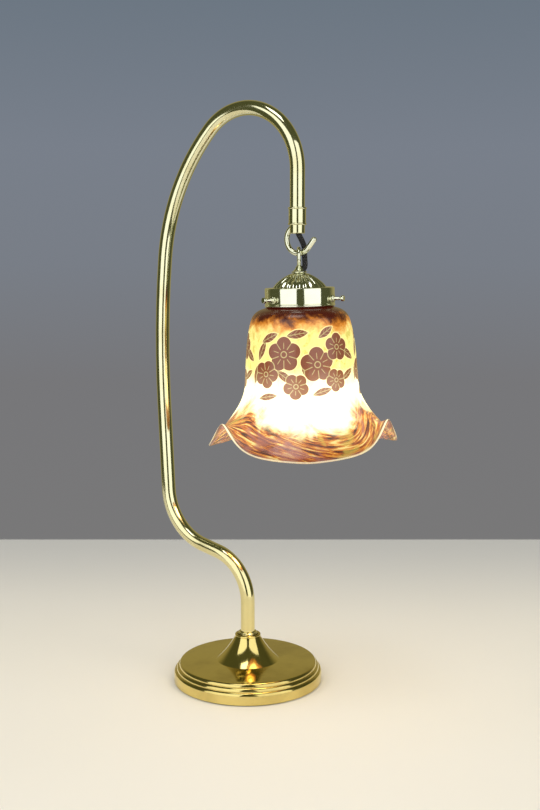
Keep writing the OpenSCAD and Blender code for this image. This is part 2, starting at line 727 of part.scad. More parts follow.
module holder_cap() {
    r = cap_d / 2;
    color("goldenrod") hung() rotate_extrude() difference() {
        polygon([[stud_d / 2 + fit, holder_z], [9, holder_z], [r - 1.5, holder_z - 3], [r, holder_z - 6],
            [r, cap_base_z], [stud_d / 2 + fit, cap_base_z]]);
        polygon([[0, holder_z - 4.2], [9.4, holder_z - 4.2], [r - cap_wall, holder_z - 6.6],
            [r - cap_wall, cap_base_z - 1], [0, cap_base_z - 1]]);
    }
}

module holder_ring() {
    color("goldenrod") hung() {
        sleeve(barrel_d / 2 + fit, cap_d / 2 - cap_wall - fit, cap_base_z - 1.8, barrel_top - 1.8 - fit);
        sleeve(barrel_d / 2 + fit, cap_d / 2, cap_base_z - 1.8, cap_base_z - fit);
    }
}

module holder_barrel() {
    color("gold") hung() difference() {
        union() {
            sleeve(barrel_bore_d / 2, barrel_d / 2, barrel_bottom, barrel_top);
            sleeve(barrel_bore_d / 2, cap_d / 2 - cap_wall - fit, barrel_top - 1.8, barrel_top);
        }
        // Two bayonet slots, cut up from the mouth and then sideways
        for (side = [0, 180]) rotate([0, 0, side]) {
            rotate_extrude(angle = bayonet_turn + 13, start = -6.5)
                translate([barrel_bore_d / 2 - 1, pin_z - slot_w / 2]) square([5, slot_w]);
            rotate([0, 0, bayonet_turn]) translate([8, -slot_w / 2, barrel_bottom - 1])
                cube([8, slot_w, pin_z - barrel_bottom + 1]);
        }
    }
}

module holder_insulator() {
    color("white") hung() difference() {
        union() {
            translate([0, 0, insulator_bottom]) cylinder(d = barrel_bore_d - 2 * fit, h = 11);
            translate([0, 0, barrel_top + fit])
                cylinder(r = cap_d / 2 - cap_wall - 2 * fit, h = insulator_top - barrel_top - fit);
        }
        for (side = [-1, 1])
            translate([side * plunger_gap / 2, 0, insulator_bottom - 1]) cylinder(d = plunger_d + 2 * fit, h = 10);
    }
}

module contact_plungers() {
    color("gold") hung() for (side = [-1, 1])
        translate([side * plunger_gap / 2, 0, insulator_bottom - plunger_out]) {
            cylinder(d = plunger_d, h = plunger_out + 7);
            cylinder(d1 = plunger_d, d2 = plunger_d + 0.6, h = 0.8);
        }
}

module holder_flex() {
    from_z = cup_top_z + CUP_FLEX[len(CUP_FLEX) - 1][2] - gap;
    color("black") hung() translate([0, 0, insulator_top]) cylinder(d = flex_d, h = from_z - insulator_top);
}

module bulb_cap() {
    r = bulb_cap_d / 2;
    color("silver") hung() {
        sleeve(r - 0.6, r, cap_end_z, bulb_top - 0.8);
        for (side = [0, 180]) rotate([0, 0, side]) translate([r - 0.4, 0, pin_z]) rotate([0, 90, 0])
            cylinder(d = pin_d, h = pin_reach + 0.4);
    }
}

module bulb_insulator() {
    color("black") hung() translate([0, 0, bulb_top - 4])
        cylinder(r = bulb_cap_d / 2 - 0.6 - fit, h = 3.4);
}

module bulb_contacts() {
    color("silver") hung() for (side = [-1, 1])
        translate([side * plunger_gap / 2, 0, bulb_top - 0.6]) cylinder(d = plunger_d + 0.8, h = 0.6);
}

module bulb_glass() {
    r = bulb_cap_d / 2 - 0.6 - fit;
    top = cap_end_z + 8;
    // The globe runs into the neck at 38 degrees above its middle
    join = [0, globe_c] + globe_r * [cos(38), sin(38)];
    tangent = [-sin(38), cos(38)];
    neck = [for (t = [0:0.125:1]) curve([join, join + 11 * tangent, [r, cap_end_z - 13], [r, cap_end_z]], t)];
    outer = concat(bow([0, globe_c], globe_r, -90, 38, 20), neck, [[r, top]]);
    inner = concat([[r - bulb_wall, top], [r - bulb_wall, cap_end_z]],
        [for (i = [len(neck) - 2:-1:1]) neck[i] - bulb_wall * unit([neck[i - 1][1] - neck[i + 1][1],
            neck[i + 1][0] - neck[i - 1][0]]) * -1],
        bow([0, globe_c], globe_r - bulb_wall, 38, -90, 20));
    color("lightyellow") hung() rotate_extrude() polygon(concat(outer, inner));
}

module bulb_stem() {
    color("lightyellow") hung() difference() {
        rotate_extrude() polygon([
            [0, cap_end_z + 7], [bulb_cap_d / 2 - 2.4, cap_end_z + 7], [bulb_cap_d / 2 - 3.4, cap_end_z + 4],
            [3, cap_end_z - 6], [2.4, cap_end_z - 22], [0, cap_end_z - 22]
        ]);
        lead_wires(lead_d + 2 * fit, 0.1);
    }
}

lead_d = 1;
filament_r = 9;
filament_z = cap_end_z - 34;

// Two wires that hold the filament, from its ends into the glass stem
module lead_wires(d, more = 0) {
    for (side = [-1, 1]) {
        translate([side * filament_r, 0, filament_z - 0.2]) cylinder(d = d, h = 7);
        translate([side * (filament_r + 0.2), 0, filament_z + 6]) rotate([0, side * -48.5, 0])
            cylinder(d = d, h = 10 + more);
    }
}

module bulb_filament() {
    color("gray") hung() {
        translate([0, 0, filament_z]) rotate([90, 0, 0]) rotate_extrude(angle = 180, start = 180)
            translate([filament_r, 0]) circle(d = 0.8);
        lead_wires(lead_d);
    }
}

base_shell();
base_weight();
base_felt();
cable_bush();
fixing_washer();
fixing_nut();
neck_collar();
stem_tube();
stem_ferrule();
hook_nipple();
hook();
foot_flex();
stem_flex();
hook_flex_upper();
hook_flex_lower();
suspension_ring();
loop_cup();
gallery_stud();
gallery_dome();
gallery_band();
gallery_nut();
thumb_screw_front();
thumb_screw_right();
thumb_screw_rear();
glass_shade();
holder_cap();
holder_ring();
holder_barrel();
holder_insulator();
contact_plungers();
holder_flex();
bulb_cap();
bulb_insulator();
bulb_contacts();
bulb_glass();
bulb_stem();
bulb_filament();
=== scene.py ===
import math

import bpy
from bpy.props import FloatProperty, FloatVectorProperty, IntProperty, PointerProperty
from mathutils import Matrix, Vector
from mathutils.kdtree import KDTree


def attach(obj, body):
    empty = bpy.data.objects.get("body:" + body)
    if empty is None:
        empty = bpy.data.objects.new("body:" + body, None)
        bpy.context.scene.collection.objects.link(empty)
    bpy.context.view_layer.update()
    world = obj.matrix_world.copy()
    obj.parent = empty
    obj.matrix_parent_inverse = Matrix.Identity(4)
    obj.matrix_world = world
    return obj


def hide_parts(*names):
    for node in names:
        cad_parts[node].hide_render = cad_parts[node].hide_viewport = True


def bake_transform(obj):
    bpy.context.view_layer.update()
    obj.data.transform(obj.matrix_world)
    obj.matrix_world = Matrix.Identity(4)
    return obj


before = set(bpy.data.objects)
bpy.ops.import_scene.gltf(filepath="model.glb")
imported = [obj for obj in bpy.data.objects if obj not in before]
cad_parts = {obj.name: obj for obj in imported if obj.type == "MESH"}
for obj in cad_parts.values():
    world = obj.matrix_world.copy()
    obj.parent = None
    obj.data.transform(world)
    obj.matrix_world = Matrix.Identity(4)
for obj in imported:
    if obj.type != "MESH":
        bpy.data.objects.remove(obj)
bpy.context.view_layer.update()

bl_info = {
    "name": "Tulip Shade Table Lamp",
    "version": (1, 0, 0),
    "blender": (4, 5, 0),
    "location": "3D View > Sidebar > Lamp",
    "description": "Builds a swan-neck brass table lamp with a hung tulip shade",
    "category": "Add Mesh",
}

MM = 0.001


# ---- Sizes and colours that a user may change

def length(name, description, default):
    """A size in millimetres."""
    return FloatProperty(name=name, description=description, default=default, min=0.0, precision=2)


def angle(name, description, degrees):
    return FloatProperty(name=name, description=description, default=math.radians(degrees), subtype="ANGLE")


def colour(name, description, default):
    return FloatVectorProperty(name=name, description=description, default=default, size=3, min=0.0, max=1.0,
                               subtype="COLOR")


class LampFootSettings(bpy.types.PropertyGroup):
    """Sizes of the foot, in millimetres"""
    radius: length("Radius", "Radius of the foot", 69.5)
    band: length("Band", "Height of the plain band", 8.4)
    reed_width: length("Reed width", "Width of one of the three reeds", 2.4)
    reed_rise: length("Reed rise", "Rise of one of the three reeds", 3.4)
    crease: length("Crease radius", "Radius at which the trumpet rises", 29.5)
    neck: length("Neck height", "Height of the rolled neck rim", 44.6)
    neck_radius: length("Neck radius", "Outer radius of the neck rim", 12.1)


class LampStemSettings(bpy.types.PropertyGroup):
    """Sizes of the bent tube, in millimetres"""
    radius: length("Tube radius", "Outer radius of the tube", 6.6)
    wall: length("Tube wall", "Wall of the tube", 1.0)
    start: length("Start", "Height at which the tube starts inside the foot", 8.6)
    rise: length("Rise", "Height at which the first bend starts", 74.3)
    drop: length("Drop", "Straight length of the tube's front end", 41.2)


class LampHookSettings(bpy.types.PropertyGroup):
    """Sizes of the hook and of the pieces above it, in millimetres"""
    ferrule: length("Ferrule radius", "Radius of the ferrule's body", 7.6)
    bead: length("Bead radius", "Radius of the ferrule's beads", 8.2)
    nipple: length("Nipple radius", "Radius of the nipple", 6.65)
    rod: length("Rod radius", "Radius of the hook's rod", 2.3)
    bowl: length("Bowl radius", "Radius of the hook's bowl", 12.5)
    tip: length("Tip", "Length of the hook's straight tip", 9.6)


class LampGallerySettings(bpy.types.PropertyGroup):
    """Sizes of the ring, cup, dome, band and screws, in millimetres"""
    wire: length("Ring wire", "Radius of the ring's wire", 1.7)
    ring: length("Ring radius", "Radius of the ring, at the middle of its wire", 7.8)
    dome: length("Dome radius", "Radius of the fluted dome", 23.5)
    flutes: IntProperty(name="Flutes", description="Number of flutes of the dome", default=24, min=12, max=36)
    flute_depth: length("Flute depth", "Depth of one flute", 1.1)
    band: length("Band radius", "Outer radius of the band", 30.7)
    lip: length("Lip radius", "Radius of the band's rolled lip", 1.2)


class LampShadeSettings(bpy.types.PropertyGroup):
    """Sizes and colours of the glass"""
    thickness: length("Thickness", "Thickness of the glass", 2.6)
    mouth: length("Mouth radius", "Radius over the petals' rims", 85.0)
    fold: length("Fold radius", "Radius over the pinched folds", 82.0)
    petal_drop: length("Petal drop", "Drop from the band's edge to the petals' rims", 125.2)
    fold_drop: length("Fold drop", "Drop from the band's edge to the rim at a fold", 95.2)
    fold_width: angle("Fold width", "Half width of a fold", 13.5)
    shoulder: colour("Shoulder", "Dark colour of the shoulder", (0.06, 0.006, 0.002))
    amber: colour("Amber", "Colour between the shoulder and the bell", (0.62, 0.2, 0.015))
    lemon: colour("Lemon", "Colour of the bell", (0.86, 0.73, 0.22))
    blossom: colour("Blossom", "Colour of the painted flowers", (0.31, 0.075, 0.04))


class LampFinishSettings(bpy.types.PropertyGroup):
    """Colours of the metal and the flex"""
    brass: colour("Brass", "Colour of the polished brass", (0.83, 0.81, 0.55))
    pale_brass: colour("Pale brass", "Colour of the plated brass of hook and gallery", (0.88, 0.89, 0.72))
    flex: colour("Flex", "Colour of the braided flex", (0.012, 0.011, 0.012))


class LampStudioSettings(bpy.types.PropertyGroup):
    """Place of the camera and strength of the lamps"""
    distance: length("Distance", "Distance from the camera to the lamp's axis, along the floor", 1025.0)
    height: length("Height", "Height of the camera", 389.0)
    aside: length("Aside", "How far the camera stands to the right of the lamp's axis", 20.9)
    turn: angle("Turn", "Turn of the camera from the front of the lamp", 35.0)
    dip: angle("Dip", "How far the camera looks down", 7.13)


GROUPS = (LampFootSettings, LampStemSettings, LampHookSettings, LampGallerySettings, LampShadeSettings,
          LampFinishSettings, LampStudioSettings)


class TulipLampSettings(bpy.types.PropertyGroup):
    """All settings of the lamp"""
    foot: PointerProperty(type=LampFootSettings)
    stem: PointerProperty(type=LampStemSettings)
    hook: PointerProperty(type=LampHookSettings)
    gallery: PointerProperty(type=LampGallerySettings)
    shade: PointerProperty(type=LampShadeSettings)
    finish: PointerProperty(type=LampFinishSettings)
    studio: PointerProperty(type=LampStudioSettings)


# ---- Where things are: the stem's path and the hung part's own frame, in millimetres

HANG_TURN = math.radians(34)
HANG_LEAN = math.radians(1.4)

# Direction of the first fold between two petals, in degrees from the side that faces the viewer, and a petal's share
FIRST_FOLD = 63
PETAL_TURN = 120

# Directions of the three thumb screws, in degrees from the same side
SCREWS = {"front": -51, "right": 69, "rear": 189}

# Heights in the hung part's frame, whose origin is the pivot on the hook
CUP_TOP = -15.9
CUP_FOOT = -20.9
FLANGE = -33.86
BAND_FOOT = -50.46
SCREW_HEIGHT = -43.86
GLASS_TOP = -35.56
LIP_FOOT = -42.06
BULB_TOP = -63.08
CAP_END = BULB_TOP - 25
GLOBE_MIDDLE = BULB_TOP - 74

# Where the bell ends and the petals begin, as (radius, height)
SKIRT = (50.6, BAND_FOOT - 70)

# How the pieces at the tube's front end follow each other
TUBE_HOLE = 6.72
FERRULE_HEIGHT = 15.4
FERRULE_GRIP = 8.6
NIPPLE_DROP = 7.3
BOWL_DROP = 4.8
BOWL_AHEAD = 1.6
LOOSE = 0.3

# Ways of the flex: from the nipple to beside the hook, on to the cup, and down into the cup
FLEX_RADIUS = 2.4
UPPER_FLEX = [(0.9, 0.4, 13.3), (1.6, 0.8, 11.6), (2.7, 1.7, 9.6), (3.9, 2.8, 7.2), (5, 3.4, 4.8), (5.9, 3.7, 2.6),
              (6.19, 3.8, 1.1), (6.2, 3.8, 0.18)]
LOWER_FLEX = [(4.9, 4.7, -0.18), (4.9, 4.69, -1.1), (4.95, 4.1, -3.8), (5, 3.4, -7), (5.1, 2.6, -10.4)]
CUP_FLEX = [(5.2, 1.8, 2.6), (5.1, 1.3, 1), (4.7, 1, -0.6), (3.6, 0.8, -2.2), (2.3, 0.5, -4), (1.2, 0.2, -5.8),
            (0.5, 0, -7.6), (0.1, 0, -9.6), (0, 0, -11.6)]

# The painted sprig, repeated on each petal. A leaf has degrees from the petal's middle, height, half length, half width
# and slope. A blossom has degrees, height, radius and turn of the first petal.
LEAVES = [(-47, -86, 9, 3.2, 66), (-38, -75, 9, 3.4, 24), (-7, -72, 10, 3.6, 8), (1, -103, 8, 3, -68),
          (24, -71, 9, 3.2, 30), (51, -90, 10, 3.4, -32), (49, -108, 9, 3, 30), (-20, -108, 10, 3.4, -35),
          (-54, -106, 9, 3.2, 75), (17, -121, 9, 3, 15), (-38, -125, 9, 2.8, 10)]
BLOSSOMS = [(-21, -89, 15, 0.3), (13, -98, 15, 1.5), (36, -84, 12, 0.4), (-41, -106, 12, 2.0), (-9, -116, 11, 1.0),
            (33, -112, 10, 2.4)]
BLOSSOM_PETALS = 5
MM_TO_A_DEGREE = 0.86
PALE_LINE = (0.88, 0.72, 0.3)

# Soft lamps: degrees aside from the camera, distance and height in metres, width, height and watts
SOFTBOXES = [("Left softbox", -38, 1.25, 0.66, 1.38, 1.5, 8.0), ("Right softbox", 42.5, 1.25, 0.66, 1.36, 1.5, 8.0),
             ("Top softbox", -24, 0.5, 1.8, 0.6, 0.5, 3.0)]
LAMPS_AIM = Vector((0, 0, 0.42))
TABLE_END = 536


def stem_stretches(stem):
    """The stem's stretches as (straight length, 0) or (bend radius, turn); a positive turn bends backwards."""
    return [(stem.rise - stem.start, 0), (45, 77.5), (18, 0), (54, -74.5), (86.5, 0), (900, -8.7), (190, -39.5),
            (56.2, -134.8), (stem.drop, 0)]


def stretch_end(x, z, heading, size, turn):
    """Where a stretch from (x, z) ends; heading is in degrees above the X axis."""
    a, b = math.radians(heading), math.radians(heading + turn)
    if turn == 0:
        return x + size * math.cos(a), z + size * math.sin(a)
    s = math.copysign(size, turn)
    return x + s * (math.sin(b) - math.sin(a)), z + s * (math.cos(a) - math.cos(b))


def stem_end(stem):
    """The point (x, z) at which the tube ends."""
    x, z, heading = 0.0, stem.start, 90.0
    for size, turn in stem_stretches(stem):
        x, z = stretch_end(x, z, heading, size, turn)
        heading += turn
    return x, z


def hook_places(lamp):
    """X of the tube's front end and heights of the ferrule, the nipple, the bowl's middle and the pivot."""
    x, z = stem_end(lamp.stem)
    ferrule = z + FERRULE_GRIP - FERRULE_HEIGHT
    nipple = ferrule - NIPPLE_DROP
    bowl = nipple - BOWL_DROP
    return x, ferrule, nipple, bowl, bowl - lamp.hook.bowl + lamp.hook.rod + LOOSE + lamp.gallery.wire


def hung_place(lamp):
    """The hung part's frame: its origin in metres, and its rotation."""
    x, _, _, _, pivot = hook_places(lamp)
    return Vector((x + BOWL_AHEAD, 0, pivot)) * MM, (0, -HANG_LEAN, HANG_TURN)


def hung_frame(lamp):
    """The hung part's frame as a matrix."""
    place, (_, lean, turn) = hung_place(lamp)
    return Matrix.Translation(place) @ Matrix.Rotation(turn, 4, "Z") @ Matrix.Rotation(lean, 4, "Y")


def bow(x, z, radius, start, end, steps):
    """Points on an arc, from angle start to angle end in degrees."""
    angles = [math.radians(start + (end - start) * i / steps) for i in range(steps + 1)]
    return [(x + radius * math.cos(a), z + radius * math.sin(a)) for a in angles]


def curve_point(guides, t):
    """The point at t on a cubic curve with four guides."""
    shares = ((1 - t) ** 3, 3 * t * (1 - t) ** 2, 3 * t * t * (1 - t), t ** 3)
    return tuple(sum(s * g[i] for s, g in zip(shares, guides)) for i in range(len(guides[0])))


def moved(point, x, z):
    return point[0] + x, point[1] + z


def direction(degrees):
    """Direction in the X-Z plane, in degrees above the X axis."""
    return Vector((math.cos(math.radians(degrees)), 0, math.sin(math.radians(degrees))))


# ---- Modelling by hand: each helper is a step in edit or object mode

def clear():
    """Goes back to object mode with nothing selected."""
    if bpy.context.object and bpy.context.object.mode != "OBJECT":
        bpy.ops.object.mode_set(mode="OBJECT")
    bpy.ops.object.select_all(action="DESELECT")


def take_up(*pieces):
    """Selects these pieces alone; the first is the active one."""
    clear()
    for piece in pieces:
        piece.select_set(True)
    bpy.context.view_layer.objects.active = pieces[0]


def start_edit(name):
    """Names the primitive that was just added and goes into edit mode on all of it."""
    piece = bpy.context.object
    piece.name = piece.data.name = name
    bpy.ops.object.mode_set(mode="EDIT")
    bpy.ops.mesh.select_all(action="SELECT")
    return piece


def draw_ring(name, sides, radius, place=(0, 0, 0), rotation=(0, 0, 0)):
    """Adds a circle, in millimetres, and opens it for editing."""
    clear()
    bpy.ops.mesh.primitive_circle_add(vertices=sides, radius=radius * MM, location=Vector(place) * MM,
                                      rotation=rotation)
    return start_edit(name)


def draw_out(outline, x=0.0):
    """Extrudes the selected ring through an outline's points (radius, height), round an upright axis at x."""
    for (r0, z0), (r1, z1) in zip(outline, outline[1:]):
        bpy.ops.mesh.extrude_region_move(TRANSFORM_OT_translate={"value": (0, 0, (z1 - z0) * MM)})
        if r1 != r0:
            bpy.ops.transform.resize(value=(r1 / r0, r1 / r0, 1), center_override=(x * MM, 0, 0))


def heal():
    """Merges doubled points, which also closes the poles, and turns all faces outwards."""
    bpy.ops.mesh.select_all(action="SELECT")
    bpy.ops.mesh.remove_doubles(threshold=0.004 * MM)
    bpy.ops.mesh.normals_make_consistent(inside=False)


def turned(name, outline, sides=96, x=0.0):
    """Turns a closed outline of points (radius, height) about an upright axis at x."""
    outline = [(max(r, 0.001), z) for r, z in outline]
    piece = draw_ring(name, sides, outline[0][0], (x, 0, outline[0][1]))
    draw_out(outline + (outline[:1] if outline[0][0] > 0.001 else []), x)
    heal()
    return piece


def work(piece, kind, **settings):
    """Adds a modifier to the piece and applies it."""
    take_up(piece)
    tool = piece.modifiers.new(kind.title(), kind)
    for key, value in settings.items():
        setattr(tool, key, value)
    bpy.ops.object.modifier_apply(modifier=tool.name)


def cut_with(piece, cutter):
    """Cuts the piece with another one, which is used up."""
    clear()
    work(piece, "BOOLEAN", object=cutter, operation="DIFFERENCE", solver="EXACT")
    bpy.data.objects.remove(cutter)


def rod_between(name, radius, start, end, sides=48):
    """A round bar between two points, in millimetres, left in object mode."""
    start, end = Vector(start), Vector(end)
    clear()
    bpy.ops.mesh.primitive_cylinder_add(vertices=sides, radius=radius * MM, depth=(end - start).length * MM,
                                        location=(start + end) / 2 * MM,
                                        rotation=(end - start).to_track_quat("Z", "Y").to_euler())
    piece = bpy.context.object
    piece.name = piece.data.name = name
    return piece


def join(*pieces):
    take_up(*pieces)
    bpy.ops.object.join()
    return pieces[0]


def pick(mesh, members):
    """Selects these points alone, and the edges between them."""
    chosen = set(members)
    for polygon in mesh.polygons:
        polygon.select = False
    for edge in mesh.edges:
        edge.select = edge.vertices[0] in chosen and edge.vertices[1] in chosen
    for v in mesh.vertices:
        v.select = v.index in chosen


def shift(mesh, members, share, rise):
    """Moves these points of the active piece out or in by a share of their radius, and up, in millimetres."""
    pick(mesh, members)
    bpy.ops.object.mode_set(mode="EDIT")
    bpy.ops.transform.resize(value=(share, share, 1), center_override=(0, 0, 0))
    bpy.ops.transform.translate(value=(0, 0, rise * MM))
    bpy.ops.object.mode_set(mode="OBJECT")


def settle(piece, paint, body, nodes=(), smooth=35, place=None):
    """Applies the piece's place to its mesh, smooths and paints it, and fixes it to a body of the frame."""
    take_up(piece)
    if place is not None:
        piece.matrix_world = place @ piece.matrix_world
    bpy.ops.object.transform_apply(location=True, rotation=True, scale=True)
    bpy.ops.object.shade_smooth_by_angle(angle=math.radians(smooth))
    piece.data.materials.clear()
    piece.data.materials.append(paint)
    if body:
        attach(piece, body)
    if nodes:
        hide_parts(*nodes)
    return piece


# ---- Finishes: shader maths written as Python expressions

def two_terms(operation, reverse=False):
    """A method that works on a value and another term, in reverse order where the other term comes first."""
    return lambda self, other: self.calc(operation, *((other, self) if reverse else (self, other)))


class Value:
    """A socket of a finish, on which Python's operators add the nodes that work out the result."""

    def __init__(self, finish, socket):
        self.finish, self.socket = finish, socket

    def calc(self, operation, *terms):
        """Adds one maths node: on numbers, or on vectors and colours where a term is one."""
        flat = all(isinstance(t, (int, float)) or isinstance(t, Value) and t.socket.type == "VALUE" for t in terms)
        if not flat:
            terms = [(t, t, t) if isinstance(t, (int, float)) else t for t in terms]
        kind = "ShaderNodeMath" if flat else "ShaderNodeVectorMath"
        return self.finish.node(kind, {"operation": operation}, dict(enumerate(terms)))

    __add__, __radd__ = two_terms("ADD"), two_terms("ADD", True)
    __sub__, __rsub__ = two_terms("SUBTRACT"), two_terms("SUBTRACT", True)
    __mul__, __rmul__ = two_terms("MULTIPLY"), two_terms("MULTIPLY", True)
    __pow__, __rpow__ = two_terms("POWER"), two_terms("POWER", True)
    __truediv__, __mod__ = two_terms("DIVIDE"), two_terms("FLOORED_MODULO")
    most = two_terms("MAXIMUM")

    def __neg__(self):
        return self * -1

    def __abs__(self):
        return self.calc("ABSOLUTE", self)

    def sin(self):
        return self.calc("SINE", self)

    def cos(self):
        return self.calc("COSINE", self)

    def angle_to(self, other):
        """The angle of the point (other, self), in radians."""
        return self.calc("ARCTAN2", self, other)

    def ease(self, low, high):
        """0 below low, 1 above high, and a smooth rise between them; low may be the greater one."""
        return self.finish.node("ShaderNodeMapRange", {"interpolation_type": "SMOOTHSTEP"},
                                {"Value": self, "From Min": low, "From Max": high})


class Finish:
    """A material whose nodes are added one by one."""

    def __init__(self, name, tree=None):
        if tree is None:
            self.material = bpy.data.materials.new(name)
            self.material.use_nodes = True
            tree = self.material.node_tree
        self.tree = tree
        self.tree.nodes.clear()

    def node(self, kind, settings=None, inputs=None, output=0):
        """Adds a node: its settings come first, then the values or links of its sockets."""
        node = self.tree.nodes.new(kind)
        for key, value in (settings or {}).items():
            if key == "stops":
                ramp = node.color_ramp
                for place, shade in value[2:]:
                    ramp.elements.new(place)
                for element, (place, shade) in zip(ramp.elements, value):
                    element.position, element.color = place, (*shade, 1)
            else:
                setattr(node, key, value)
        for key, value in (inputs or {}).items():
            socket = node.inputs[key]
            if isinstance(value, Value):
                self.tree.links.new(value.socket, socket)
            elif socket.type == "RGBA" and len(value) == 3:
                socket.default_value = (*value, 1)
            else:
                socket.default_value = value
        return Value(self, node.outputs[output]) if node.outputs else None

    def place(self):
        """Object coordinates."""
        return self.node("ShaderNodeTexCoord", output="Object")

    def in_frame(self, location, rotation):
        """Object coordinates in a turned frame, in millimetres, as x, y and z."""
        point = self.node("ShaderNodeMapping", {"vector_type": "TEXTURE"},
                          {"Vector": self.place(), "Location": location, "Rotation": rotation, "Scale": (MM, MM, MM)})
        return [self.node("ShaderNodeSeparateXYZ", None, {"Vector": point}, i) for i in range(3)]

    def point(self, x, y, z):
        return self.node("ShaderNodeCombineXYZ", None, {0: x, 1: y, 2: z})

    def noise(self, point, scale, detail=3.0, rough=0.55, twist=0.0):
        return self.node("ShaderNodeTexNoise", None, {"Vector": point, "Scale": scale, "Detail": detail,
                                                      "Roughness": rough, "Distortion": twist}, "Fac")

    def mix(self, share, first, second):
        """Mixes two colours."""
        return self.node("ShaderNodeMix", {"data_type": "RGBA", "clamp_factor": True},
                         {0: share, 6: first, 7: second}, 2)

    def ramp(self, share, *stops):
        return self.node("ShaderNodeValToRGB", {"stops": stops}, {"Fac": share})

    def bump(self, height, strength, distance):
        return self.node("ShaderNodeBump", None, {"Height": height, "Strength": strength, "Distance": distance * MM})

    def surface(self, **sockets):
        """Ends the material in one surface shader; underscores in the names stand for spaces."""
        shader = self.node("ShaderNodeBsdfPrincipled", None, {k.replace("_", " "): v for k, v in sockets.items()})
        self.node("ShaderNodeOutputMaterial", None, {"Surface": shader})
        return self.material


FINISHES = {}


def finish(name):
    """The material of this name, made once by the function of that name."""
    if name not in FINISHES:
        FINISHES[name] = PAINTS[name](bpy.context.scene.tulip_lamp)
    return FINISHES[name]


def brass(name, colour, shade, smooth):
    """Polished brass with faint toning and haze, a little warmer low down from a painted reflection of the lit table.
    """
    f = Finish(name)
    p = f.place()
    toning = f.noise(p, 30, 4).ease(0.45, 0.8)
    haze = f.noise(p, 260, 3).ease(0.4, 0.85)
    _, _, z = f.in_frame((0, 0, 0), (0, 0, 0))
    # Painted reflection: warm light of the lit table, mixed in more strongly from 230 mm down towards the foot
    base = f.mix(z.ease(230, 20) * 0.8, colour, (0.8, 0.67, 0.27))
    base = f.mix(toning * 0.4, base, shade)
    base = f.mix(haze * 0.1, base, shade)
    return f.surface(Base_Color=base, Metallic=1.0, Roughness=smooth + 0.03 * haze + 0.04 * toning)


def polished_brass(lamp):
    return brass("Polished brass", lamp.finish.brass, (0.6, 0.5, 0.2), 0.09)


def gallery_brass(lamp):
    return brass("Gallery brass", lamp.finish.pale_brass, (0.6, 0.6, 0.36), 0.07)


def foot_brass(lamp):
    """Spun brass of the foot: turning lines run round it."""
    f = Finish("Spun brass")
    p = f.place()
    x, y, z = f.in_frame((0, 0, 0), (0, 0, 0))
    radius = (x * x + y * y) ** 0.5
    lines = f.noise(f.point(radius * 2.2, z * 2.2, 0), 1, 3)
    toning = f.noise(p, 26, 4).ease(0.4, 0.75)
    spots = f.noise(p, 420, 2).ease(0.68, 0.8)
    base = f.mix(toning * 0.6, (0.8, 0.65, 0.24), (0.5, 0.38, 0.12))
    base = f.mix(spots * 0.3, base, (0.2, 0.15, 0.05))
    rough = 0.07 + 0.05 * toning + 0.04 * lines + 0.1 * spots
    return f.surface(Base_Color=base, Metallic=1.0, Roughness=rough, Normal=f.bump(lines, 0.06, 0.1))


def grained(name, grain, tones, rough, bump, marks=None, stretch=None, eased=None, **sockets):
    """A finish for an inner piece. Its grain gives one or two tones, a share of the roughness, and the bump.

    Marks are scale, detail, lower and upper end, strength and colour.
    """
    f = Finish(name)
    p = f.place()
    fine = f.noise(p * stretch if stretch else p, *grain)
    if eased:
        fine = fine.ease(*eased)
    base = f.mix(fine, *tones) if len(tones) == 2 else tones[0]
    if marks:
        scale, detail, low, high, strength, shade = marks
        base = f.mix(f.noise(p, scale, detail).ease(low, high) * strength, base, shade)
    smooth, coarser = rough
    return f.surface(Base_Color=base, Roughness=smooth + coarser * fine if coarser else smooth,
                     Normal=f.bump(fine, *bump), **sockets)


def iron(lamp):
    return grained("Cast iron", (700, 4), [(0.035, 0.035, 0.037)], (0.55, 0.25), (0.4, 0.4),
                   (60, 5, 0.5, 0.8, 0.6, (0.1, 0.045, 0.02)), Metallic=0.7)


def felt(lamp):
    return grained("Green felt", (1400, 5, 0.7, 1.2), [(0.012, 0.05, 0.026), (0.03, 0.11, 0.06)], (0.95, 0.0),
                   (0.6, 0.5), (45, 3, 0.5, 0.8, 0.4, (0.05, 0.09, 0.06)), (1, 1.6, 1))


def black_bush(lamp):
    return grained("Black bush", (900, 3), [(0.014, 0.013, 0.013)], (0.35, 0.2), (0.2, 0.1),
                   (130, 4, 0.55, 0.8, 0.3, (0.07, 0.065, 0.06)))


def steel(lamp):
    return grained("Plated steel", (110, 4), [(0.55, 0.54, 0.5), (0.36, 0.33, 0.27)], (0.28, 0.2), (0.1, 0.1),
                   eased=(0.4, 0.7), Metallic=1.0)


def porcelain(lamp):
    return grained("Porcelain", (150, 3), [(0.75, 0.72, 0.64), (0.83, 0.81, 0.76)], (0.2, 0.1), (0.05, 0.2),
                   (420, 2, 0.66, 0.76, 0.5, (0.3, 0.26, 0.2)), Coat_Weight=0.5)


def cap_metal(lamp):
    return grained("Bulb cap metal", (300, 3), [(0.6, 0.6, 0.6), (0.78, 0.78, 0.77)], (0.25, 0.2), (0.1, 0.1),
                   stretch=(1, 1, 8), Metallic=1.0)


def filament(lamp):
    return grained("Filament wire", (3000, 1), [(0.1, 0.1, 0.11), (0.3, 0.3, 0.3)], (0.4, 0.0), (0.3, 0.1),
                   Metallic=1.0)


